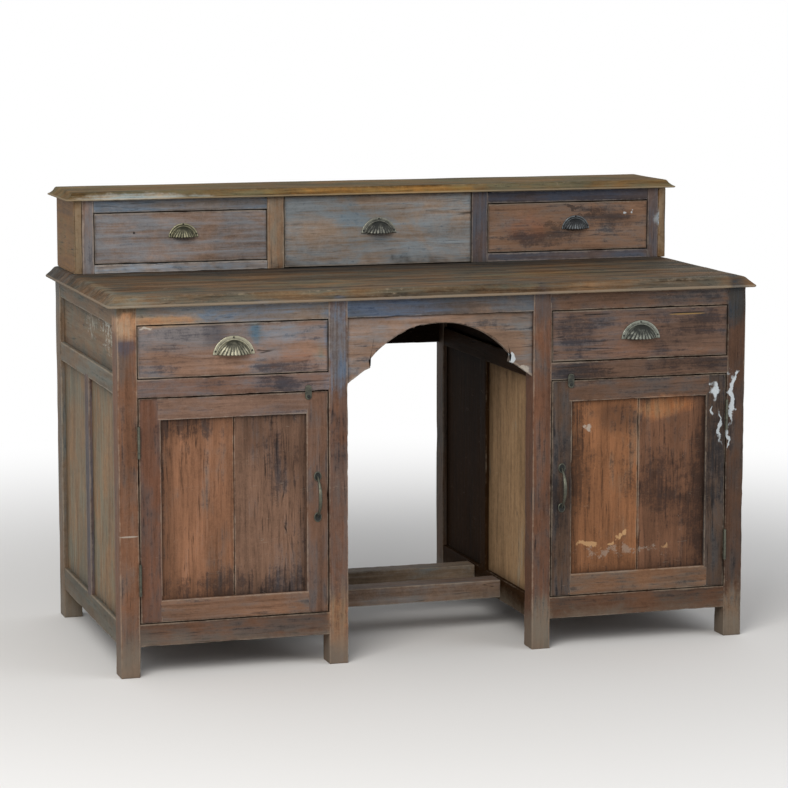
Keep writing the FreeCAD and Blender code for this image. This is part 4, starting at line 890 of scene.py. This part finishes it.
def outline(x, y, inset, square, moulded_front):
    """The six corners of one ring, anticlockwise from the back left one, clipped in front."""
    left, right, back = x[0] + inset, x[1] - inset, y[1] - square
    front = y[0] + (inset if moulded_front else square)
    leg = max(CLIP - SLANT * inset, LEAST) if moulded_front else LEAST
    return np.array([(left, back), (left, front + leg), (left + leg, front),
                     (right - leg, front), (right, front + leg), (right, back)])


def moulded_board(x, y, low, profile, moulded_front, seed, look):
    """Nested rings of a board moulded at both ends and, if asked, along its front. profile is
    rows of (inset, height, edge value). Chips go inwards where the waves are high."""
    rows, top = ring_rows(profile, y[1] - y[0]), profile[-1][1]
    rings, runs = [], []
    for inset, height, edge, square in rows:
        corners = outline(x, y, inset, square, moulded_front)
        sides = np.roll(corners, -1, 0) - corners
        if not runs:
            for length in np.linalg.norm(sides, axis=1):
                close = (BY_CORNER, length - BY_CORNER) if length > SHORT else ()
                runs.append(np.sort(np.append(stations(length, FINE), close))[:-1] / length)
        line = np.concatenate([corner + side * run[:, None]
                               for corner, side, run in zip(corners, sides, runs)])
        rings.append(np.concatenate([line, np.full((len(line), 1), low + height)], 1))
    points = np.array(rings)
    rubbed = np.repeat([1, 1, 1.0 if moulded_front else 0.1, 1, 1, 0.1], [len(run) for run in runs])
    edge = np.array([row[2] for row in rows])[:, None] * rubbed
    middle = np.array([sum(x) / 2, y[1]])
    inwards = np.concatenate([middle - points[..., :2], np.zeros(edge.shape + (1,))], 2)
    inwards /= np.maximum(np.abs(inwards).max(-1, keepdims=True), 1e-6)
    chip = np.clip(0.6 * waves(points, 0.11, seed) + 0.5 * waves(points, 0.02, seed + 1), 0, 1.2)
    points = points + inwards * (chip * edge ** 2 * CHIP_DEPTH)[..., None]
    sag = SAG * (1 + np.clip(waves(points, 0.25, seed + 2), -1, 1))
    points[..., 2] -= sag * (points[..., 2] > low + top / 2)
    return carried(points, edge, seed, look)


def arc(start, through, end, count):
    """Points after start, up to end, on the circle through three points. Its centre c is as far
    from all three, which is two linear equations."""
    a, b, d = (np.array(point, float) for point in (start, through, end))
    c = np.linalg.solve(2 * np.array([b - a, d - a]), [b @ b - a @ a, d @ d - a @ a])
    angles = np.unwrap([math.atan2(q[1] - c[1], q[0] - c[0]) for q in (a, b, d)])
    turn = np.linspace(angles[0], angles[2], count + 1)[1:]
    return c + np.linalg.norm(a - c) * np.stack([np.cos(turn), np.sin(turn)], 1)


def moulding(thick, lip, shoulder, drop, flat, hollow):
    """The profile of a top, from underneath: a round lip, a long hollow up to the shoulder, and
    a soft shoulder that runs into the flat. hollow is the share of the way, inwards and up,
    at the middle of the hollow's arc. Only the lip is rubbed."""
    foot = np.array([0.0015, 0.0])
    begin, bend = foot + (0, lip), np.array([shoulder, thick - drop])
    end = np.array([flat, thick])
    rows = [(*foot, 0.4)] + [(*q, 1.0) for q in arc(foot, (0.0, lip / 2), begin, 5)]
    rows += [(*q, 0.12) for q in arc(begin, begin + (bend - begin) * hollow, bend, 9)]
    return rows + [(*q, 0.3) for q in arc(bend, bend + (end - bend) * (0.42, 0.66), end, 6)]


# Height of the lip, inset and drop of the shoulder, inset of the flat, and the hollow
MOULDINGS = {"main_top": (0.005, 0.017, 0.005, 0.026, (0.55, 0.49)),
             "gallery_top": (0.0035, 0.0155, 0.0035, 0.020, (0.62, 0.42))}
for name, shape in MOULDINGS.items():
    surfaces = []
    for index, (low, high) in enumerate(boards_of(name)):
        x, y, heights = zip(low, high)
        profile = moulding(heights[1] - heights[0], *shape)
        surfaces.append(moulded_board(x, y, heights[0], profile, index == 0, 9000 + index,
                                      look_of(name, index)))
    top = make_piece(name + "_boards", surfaces, [name], WOODS["top_wood"])
    print(top.name, len(surfaces), "boards,", len(top.data.vertices), "points")

# %% [markdown]
# ## The arched apron
# The apron hangs under the kneehole rail. Its lower edge runs from a post up to a cusp, back
# into a notch, over the arch, and down the same way on the other side. A filled curve would
# give the shape but no points to colour and dent. A surface ruled between this line and the
# straight top edge has them, and its rows go round the board from face to face.

# %% The arch line and the board above it
HALF_ARCH, ARCH_RISE, ARCH_TOP = 0.158, 0.075, 0.721  # the arc over the knees
SPRING = np.array([(HALF_ARCH, 0.646), (0.1555, 0.631), (0.169, 0.6255), (0.207, 0.598)])
UP_THE_FACE = np.array([0.6, 0.3, 0.12, 0.05])  # rows of points, as shares of the way up


def arch_line():
    """Points of the apron's lower edge in the XZ plane, left to right: straight runs between
    the corners, and a circle's arc over the knees, dense enough for small dents. An arc over
    2a with the rise h has the radius (a² + h²) / 2h."""
    radius = (HALF_ARCH ** 2 + ARCH_RISE ** 2) / (2 * ARCH_RISE)
    angle = math.asin(HALF_ARCH / radius)
    turn = np.linspace(-angle, angle, 73)
    over = np.stack([radius * np.sin(turn), ARCH_TOP - radius + radius * np.cos(turn)], 1)
    side = np.concatenate([a + (b - a) * np.linspace(0, 1, n)[1:, None]
                           for a, b, n in zip(SPRING, SPRING[1:], (5, 5, 12))])
    return np.concatenate([side[::-1] * (-1, 1), over, side])


def arched_board(low, high, seed, look):
    """The closed board between the arch line and the top edge: a section with rounded lower
    corners goes down the back face, under the edge, and up the front face."""
    line = arch_line()
    top = np.stack([np.linspace(low[0], high[0], len(line)), np.full(len(line), high[2])], 1)
    tangent = np.gradient(line, axis=0)
    up = np.stack([-tangent[:, 1], tangent[:, 0]], 1)
    up /= np.linalg.norm(tangent, axis=1, keepdims=True)
    sink, lift = CORNER * (1 - np.cos(ROUND)), CORNER * (1 - np.sin(ROUND))
    back = [(high[1], share, 0.0, math.exp(-share * 12)) for share in UP_THE_FACE]
    front = [(low[1], share, 0.0, math.exp(-share * 12)) for share in UP_THE_FACE[::-1]]
    rows = [(high[1], 1.0, 0.0, 0.0)] + back
    rows += [(high[1] - s, 0.0, t, 1.0) for s, t in zip(sink, lift)]
    rows += [((low[1] + high[1]) / 2, 0.0, 0.0, 0.4)]
    rows += [(low[1] + s, 0.0, t, 1.0) for s, t in zip(sink[::-1], lift[::-1])]
    rows += front + [(low[1], 1.0, 0.0, 0.2)]
    points = []
    for y, share, lift, edge in rows:
        flat = line + up * lift
        flat = flat + (top - flat) * share
        points.append(np.stack([flat[:, 0], np.full(len(flat), y), flat[:, 1]], 1))
    points = np.array(points).transpose(1, 0, 2)
    edge = np.broadcast_to(np.array([row[3] for row in rows]), points.shape[:2])
    chip = np.clip(0.5 * waves(points, 0.06, seed) + 0.5 * waves(points, 0.012, seed + 1), 0, 1.2)
    points[..., 2] += chip * edge ** 3 * CHIP_DEPTH
    return carried(points, edge, seed, look)


apron_board = arched_board(*boards_of("kneehole_apron")[0], 9100, look_of("kneehole_apron", 0))
apron = make_piece("kneehole_apron_board", [apron_board], ["kneehole_apron"],
                   WOODS["frame_wood"])
print("apron points", len(apron.data.vertices))

# %% [markdown]
# ## Cup pulls
# A cup pull is half of a domed shell under a flat half ring. Its ribs fan out from the top of
# the ring like meridians from a pole. Sculpting them would take long and never be even, so the
# surface is worked out in that pole's own angles: how far round, and how far down. Each
# meridian runs to the open lip or to the ring, whichever comes first. The valleys between the
# ribs are the sharp dips of a sine's absolute value.

# %% The ribbed shell
RIBS, RIB_DEPTH, SCALLOP = 9, 0.0014, 0.0011  # how many ribs, their depth, the lip's scallops
WALL = 0.0013  # how thick the shell is
MERIDIANS, DOWN = 145, 22  # points round the shell, and down each side of it


def merged(piece):
    """Joins points that fall together at poles and seams, then turns all faces outwards."""
    work = bmesh.new()
    work.from_mesh(piece.data)
    bmesh.ops.remove_doubles(work, verts=work.verts, dist=2e-6)
    bmesh.ops.dissolve_degenerate(work, edges=work.edges, dist=1e-6)
    bmesh.ops.recalc_face_normals(work, faces=work.faces)
    work.to_mesh(piece.data)
    work.free()
    return piece


def with_edge(points, edge, closed=True, caps=()):
    """A surface for metal from rows of points: only the attribute for its hollows."""
    edge = np.broadcast_to(edge, points.shape[:2])
    return {"points": points.reshape(-1, 3), "quads": ring_faces(*points.shape[:2], closed),
            "edge": edge.reshape(-1).astype(float), "caps": list(caps)}


def ribbed_shell(x, y, z, base, dome, rise):
    """A point at azimuth a and polar angle t from the hub: C + R(cos t u + sin t (sin a X +
    cos a d)), where u points from the ball's centre C to the hub and d runs down the front.
    A meridian meets the open lip, at height base, where A cos t - B sin t = (base - z) / R."""
    ball = (dome ** 2 + rise ** 2) / (2 * rise)
    centre = np.array([x, y - rise + ball, z])
    hub = np.array([0, -(ball - rise) / ball, dome / ball])
    down = np.array([0, -dome / ball, -(ball - rise) / ball])
    azimuth = np.linspace(-1, 1, MERIDIANS) * math.pi / 2
    slope = dome / (ball - rise)
    a, b = dome / ball, np.cos(azimuth) * (ball - rise) / ball
    to_lip = np.arccos((base - z) / ball / np.hypot(a, b)) - np.arctan2(b, a)
    to_ring = 2 * np.arctan(slope * np.cos(azimuth))
    last = np.abs(azimuth)[to_lip <= to_ring].max()
    dip = 1 - np.abs(np.sin((azimuth / last + 1) / 2 * math.pi * RIBS))
    dip = np.where(np.abs(azimuth) > last, 0.35, dip)[:, None]
    ends = np.minimum(to_lip - dip[:, 0] ** 2 * SCALLOP / ball, to_ring)
    share = np.concatenate([np.linspace(0, 1, DOWN), [1.0], np.linspace(1, 0, DOWN)])
    inner = np.concatenate([np.zeros(DOWN), [0.5], np.ones(DOWN)])
    polar = (share * ends[:, None])[..., None]
    radius = ball - dip * np.sin(share * math.pi / 2) ** 2 * RIB_DEPTH - inner * WALL
    way = np.sin(azimuth)[:, None] * np.array([1, 0, 0]) + np.cos(azimuth)[:, None] * down
    points = centre + radius[..., None] * (np.cos(polar) * hub + np.sin(polar) * way[:, None])
    points[..., 2] = np.maximum(points[..., 2], base)
    # Painted shadow: the edge values are high near the hub, where the ring overhangs the shell; the
    # rib valleys darken by tarnish.
    edge = np.maximum(dip * 0.9, 0.95 * (1 - share) ** 0.8) + inner * 0.6
    return with_edge(points, edge, closed=False)


print("a shell has", MERIDIANS * (2 * DOWN + 1), "points before its poles are merged")

# %% Rings, plates and screw heads
CAST_THICK = 0.0018  # the flat ring of a cup pull
LARGE, WIDE_RING, NARROW_RING = 0.04, 0.009, 0.007  # past the radius LARGE, the ring is wide
SCREW, SCREW_RISE = 0.0022, 0.0011  # radius and height of its screw heads
SCREWS_AT = np.radians((18, 90, 162))  # where they sit on the half ring
SCREW_OUT, SCREW_UP = 0.0004, 0.0008  # how far outwards and up from the middle of its width
SCREW_FOOT = 0.0014  # how far in front of the wood they start, inside the ring


def half_ring(x, y, z, base, inner, outer):
    """A flat ring above the height base, with a bead along its inner side. At the radius r it
    starts and ends at the angle asin((base - z) / r), so both ends are cut level."""
    wide = outer - inner
    section = np.array([(-0.0008, 0), (-0.0008, 0.9), (0.0004, 1.25), (0.0016, 1.1), (0.0024, 0.8),
                        (0.3 * wide, 0.85), (0.6 * wide, 0.95), (wide - 0.0016, 1.0),
                        (wide - 0.0006, 0.85), (wide, 0.45), (wide, 0)])
    bead = np.array([0, 0, 0, 0.2, 0.8, 0.25, 0.1, 0.0, 0.0, 0.3, 0.5])
    reach = inner + section[:, 0]
    first = np.arcsin((base - z) / reach)
    turn = first + np.linspace(0, 1, 97)[:, None] * (math.pi - 2 * first)
    depth = np.broadcast_to(y - section[:, 1] * CAST_THICK, turn.shape)
    points = np.stack([x + np.cos(turn) * reach, depth, z + np.sin(turn) * reach], -1)
    return with_edge(points, bead, caps=end_caps(*turn.shape))


def plate(x, y, z, wide, high, straight, profile, edge, parts=48):
    """Nested outlines of an oval whose halves are set apart by a straight piece, drawn in by the
    shares in profile and lifted off the plane y by its heights. Both ends close in a point."""
    turn = np.linspace(0, 2 * math.pi, parts, endpoint=False)
    apart = np.sign(np.round(np.sin(turn), 6)) * straight / 2
    drawn, lifted = np.array(profile)[:, :1], np.array(profile)[:, 1:]
    points = np.stack([x + drawn * np.cos(turn) * wide / 2,
                       np.broadcast_to(y - lifted, (len(profile), parts)),
                       z + drawn * np.sin(turn) * high / 2 + apart * np.minimum(drawn * 6, 1)], -1)
    return with_edge(points, np.array(edge)[:, None])


def screw_head(x, y, z, radius, rise):
    """A low dome: cos t outwards and rise sin t up, from t = 0 at the rim to the top."""
    turn = np.linspace(0, math.pi / 2, 6)
    profile = [(0.0, 0.0), (1.0, 0.0)] + [(math.cos(t), rise * math.sin(t)) for t in turn[1:]]
    return plate(x, y, z, radius * 2, radius * 2, 0, profile, [1.0] * len(profile), 20)


def cup_pull(node):
    """One cup pull in the box of its solid: shell, ring and three screws. The box holds the
    part of a circle above its chord: with half its width a and its height h, the radius is
    (a² + h²) / 2h."""
    low, high = boards_of(node)[0]
    half, tall = (high[0] - low[0]) / 2, high[2] - low[2]
    outer, reach = (half ** 2 + tall ** 2) / (2 * tall), high[1] - low[1]
    x, y, z, base = (low[0] + high[0]) / 2, high[1], high[2] - outer, low[2]
    dome = outer - (WIDE_RING if outer > LARGE else NARROW_RING)
    surfaces = [ribbed_shell(x, y - CAST_THICK, z, base, dome, reach - CAST_THICK),
                half_ring(x, y, z, base, dome, outer)]
    middle = (outer + dome) / 2 + SCREW_OUT
    for a in SCREWS_AT:
        surfaces.append(screw_head(x + middle * math.cos(a), y - SCREW_FOOT,
                                   z + middle * math.sin(a) + SCREW_UP, SCREW, SCREW_RISE))
    cast = CAST[node.removesuffix("_pull")]
    return merged(make_piece(node + "_cast", surfaces, [node], cast))


for node in sorted(SLOTS):
    if SLOTS[node] == "brass":
        print(node, len(cup_pull(node).data.vertices), "points")

# %% [markdown]
# ## Bow pulls and turn buttons
# Each bow pull is a bar bent to an arc, thin at both ends and thick where the hand takes it,
# between two dished oval plates. A curve object can swell along its length too, but its ends
# would have to be converted and closed. Here a ring of points is carried along the arc while
# its radius swells. The turn buttons are flat plates with round ends and one screw, nested
# outlines like the oval plates.

# %% Bow pulls
ALONG_BAR, ROUND_BAR = 61, 20  # points along a bow pull and round it
THIN, THICK = 0.0020, 0.0042  # its radius at the ends and in the middle
FLATTENED, HALF_DEEP = 0.85, 0.0036  # its depth over its width, and half its depth at the middle
PLATE_WIDE, PLATE_HIGH = 0.0165, 0.021
DISH = [(0, 0), (1, 0), (1.0, 0.0012), (0.93, 0.0019), (0.82, 0.0020), (0.66, 0.0014),
        (0.4, 0.0011), (0, 0.0010)]


def bow_bar(x, y, z, chord, rise):
    """Rings along a circle's arc in the YZ plane. At the share s of half the arc the radius is
    thin + (thick - thin) cos(s pi / 2)^1.6."""
    radius = (chord ** 2 + rise ** 2) / (2 * rise)
    turn = np.linspace(-1, 1, ALONG_BAR)
    angle = turn * math.asin(chord / radius)
    middle = np.stack([np.full(ALONG_BAR, x), y - rise + radius - radius * np.cos(angle),
                       z + radius * np.sin(angle)], 1)
    out = np.stack([np.zeros(ALONG_BAR), -np.cos(angle), np.sin(angle)], 1)
    swell = THIN + (THICK - THIN) * np.cos(turn * math.pi / 2) ** 1.6
    around = np.linspace(0, 2 * math.pi, ROUND_BAR, endpoint=False)[:, None]
    ring = np.cos(around) * (1, 0, 0) + np.sin(around) * out[:, None] * FLATTENED
    points = middle[:, None] + swell[:, None, None] * ring
    hollow = np.clip(np.abs(turn) - 0.55, 0, 1)[:, None] * 0.7
    return with_edge(points, hollow, caps=end_caps(ALONG_BAR, ROUND_BAR))


def bow_pull(node):
    """The bar and its two oval plates, inside the box of the solid."""
    low, high = boards_of(node)[0]
    x, y, z = (low[0] + high[0]) / 2, high[1], (low[2] + high[2]) / 2
    chord, rise = (high[2] - low[2] - PLATE_HIGH) / 2, high[1] - low[1]
    surfaces = [bow_bar(x, y, z, chord, rise - HALF_DEEP)]
    for end in (-1, 1):
        surfaces.append(plate(x, y, z + end * chord, PLATE_WIDE, PLATE_HIGH, 0, DISH,
                              [0, 0, 0, 0, 0.2, 0.9, 1, 1]))
    return merged(make_piece(node + "_forged", surfaces, [node], IRON))


print("a bow pull's bar has", ALONG_BAR * ROUND_BAR, "points")

# %% Turn buttons
BUTTON, HEAD = 0.0025, 0.0012  # how thick the plate is, and how far its screw stands out
HEAD_RADIUS, SHANK_WIDE = 0.0036, 0.004
RIM = [(0, 0), (0.97, 0), (1.0, 0.0004), (1.0, BUTTON - 0.0007), (0.95, BUTTON - 0.0001),
       (0.85, BUTTON), (0, BUTTON)]


def turn_button(node):
    """The flat plate of a turn button, its screw, and the shank behind it, in the solid's box."""
    low, high = boards_of(node)[0]
    x, front = (low[0] + high[0]) / 2, low[1] + HEAD
    wide, long = high[0] - low[0], high[2] - low[2]
    pivot, shank = low[2] + wide / 2, high[1] - front - BUTTON
    surfaces = [plate(x, front + BUTTON, (low[2] + high[2]) / 2, wide, wide, long - wide, RIM,
                      [0.4, 0.4, 0.2, 0, 0, 0.2, 0.4]),
                screw_head(x, front, pivot, HEAD_RADIUS, HEAD),
                plate(x, high[1], pivot, SHANK_WIDE, SHANK_WIDE, 0,
                      [(0, 0), (1, 0), (1, shank), (0, shank)], [1, 1, 1, 1], 16)]
    return merged(make_piece(node + "_forged", surfaces, [node], IRON))


for side in ("left", "right"):
    for piece in (bow_pull(f"door_{side}_pull"), turn_button(f"door_{side}_button")):
        print(piece.name, "has", len(piece.data.vertices), "points")

# %% [markdown]
# The hinges are plain leaves, knuckles and pins. Their solids already have every face that can
# be seen, so they stay, and only take the iron.

# %% The hinges keep their solids
hinges = [node for node in SLOTS if "hinge" in node]
for node in hinges:
    frame["nodes"][node].data.materials.clear()
    frame["nodes"][node].data.materials.append(IRON)
print("in iron:", ", ".join(hinges))

# %% [markdown]
# ## Floor, light and camera
# A plain pale floor, a pale sky that lights all sides evenly, a large soft lamp from the upper
# left and a weak one from the right. More light would turn the background white as well, but
# it would bleach the wood. So only the camera and what mirrors for it see the sky and the far
# floor as white, and the light on the table stays level. The camera's place, turn and lens come
# from a fit to the table's long edges. They could be set by eye, but then the proportions in a
# render and in the photograph couldn't be compared.

# %% Floor and sky
HALF_FLOOR = 30.0
FADE_FROM, FADE_TO = 0.9, 2.8  # distances from the middle between which the floor turns white
floor_mesh = bpy.data.meshes.new("floor")
corners = [(x * HALF_FLOOR, y * HALF_FLOOR, 0) for x, y in ((-1, -1), (1, -1), (1, 1), (-1, 1))]
floor_mesh.from_pydata(corners, [], [(0, 1, 2, 3)])
floor = bpy.data.objects.new("floor", floor_mesh)
bpy.context.scene.collection.objects.link(floor)
p = Paint("pale_floor")
plain = p.node("ShaderNodeBsdfPrincipled", {}, {"Base Color": (*srgb(226, 224, 221), 1.0),
                                                "Roughness": 0.85, "Specular IOR Level": 0.1})
white = p.node("ShaderNodeEmission", {}, {"Color": (1, 1, 1, 1), "Strength": 1.0})
share = p.length(p.place()).between(FADE_FROM, FADE_TO) * p.seen_directly()
p.node("ShaderNodeOutputMaterial", {}, {0: p.blend(plain, white, share)})
floor_mesh.materials.append(p.material)
floor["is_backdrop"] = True

world = bpy.data.worlds.new("sky")
bpy.context.scene.world = world
world.use_nodes = True
p = Paint("sky", world.node_tree)
plain = p.node("ShaderNodeBackground", {}, {"Color": (0.95, 0.97, 1.0, 1.0), "Strength": 0.62})
white = p.node("ShaderNodeBackground", {}, {"Color": (1, 1, 1, 1), "Strength": 1.0})
p.node("ShaderNodeOutputWorld", {}, {0: p.blend(plain, white, p.seen_directly())})
print("the sky shines at", plain.socket.node.inputs["Strength"].default_value)


# %% Lamps and camera
def lamp(name, place, target, size, watts, colour):
    """A square area lamp at place that faces target."""
    light = bpy.data.lights.new(name, "AREA")
    light.size, light.energy, light.color = size, watts, colour
    holder = bpy.data.objects.new(name, light)
    bpy.context.scene.collection.objects.link(holder)
    holder.location = place
    way = Vector(target) - Vector(place)
    holder.rotation_euler = way.to_track_quat("-Z", "Y").to_euler()


lamp("window", (-2.6, -3.4, 3.2), (0, 0, 0.5), 2.6, 150, (1.0, 0.98, 0.95))
lamp("fill", (3.2, -3.0, 1.8), (0, 0, 0.5), 2.5, 34, (0.95, 0.97, 1.0))

camera_data = bpy.data.cameras.new("camera")
camera_data.lens = 133.0
camera_data.sensor_width = 36.0
camera = bpy.data.objects.new("camera", camera_data)
bpy.context.scene.collection.objects.link(camera)
camera.location = (-1.9209, -6.1301, 1.4483)
camera.rotation_euler = (math.pi / 2 - 0.1426, 0.0, -0.3028)
bpy.context.scene.camera = camera
bpy.context.scene.view_settings.view_transform = "Standard"
print("the camera stands", round(camera.location.length, 2), "m from the table's foot")

# %% [markdown]
# The last cell prints the size of the dressed table, so that a dress that is too wide or too short
# can be noticed at once.

# %% Finish
low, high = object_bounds()
print("table is", [round(b - a, 4) for a, b in zip(low, high)], "m")
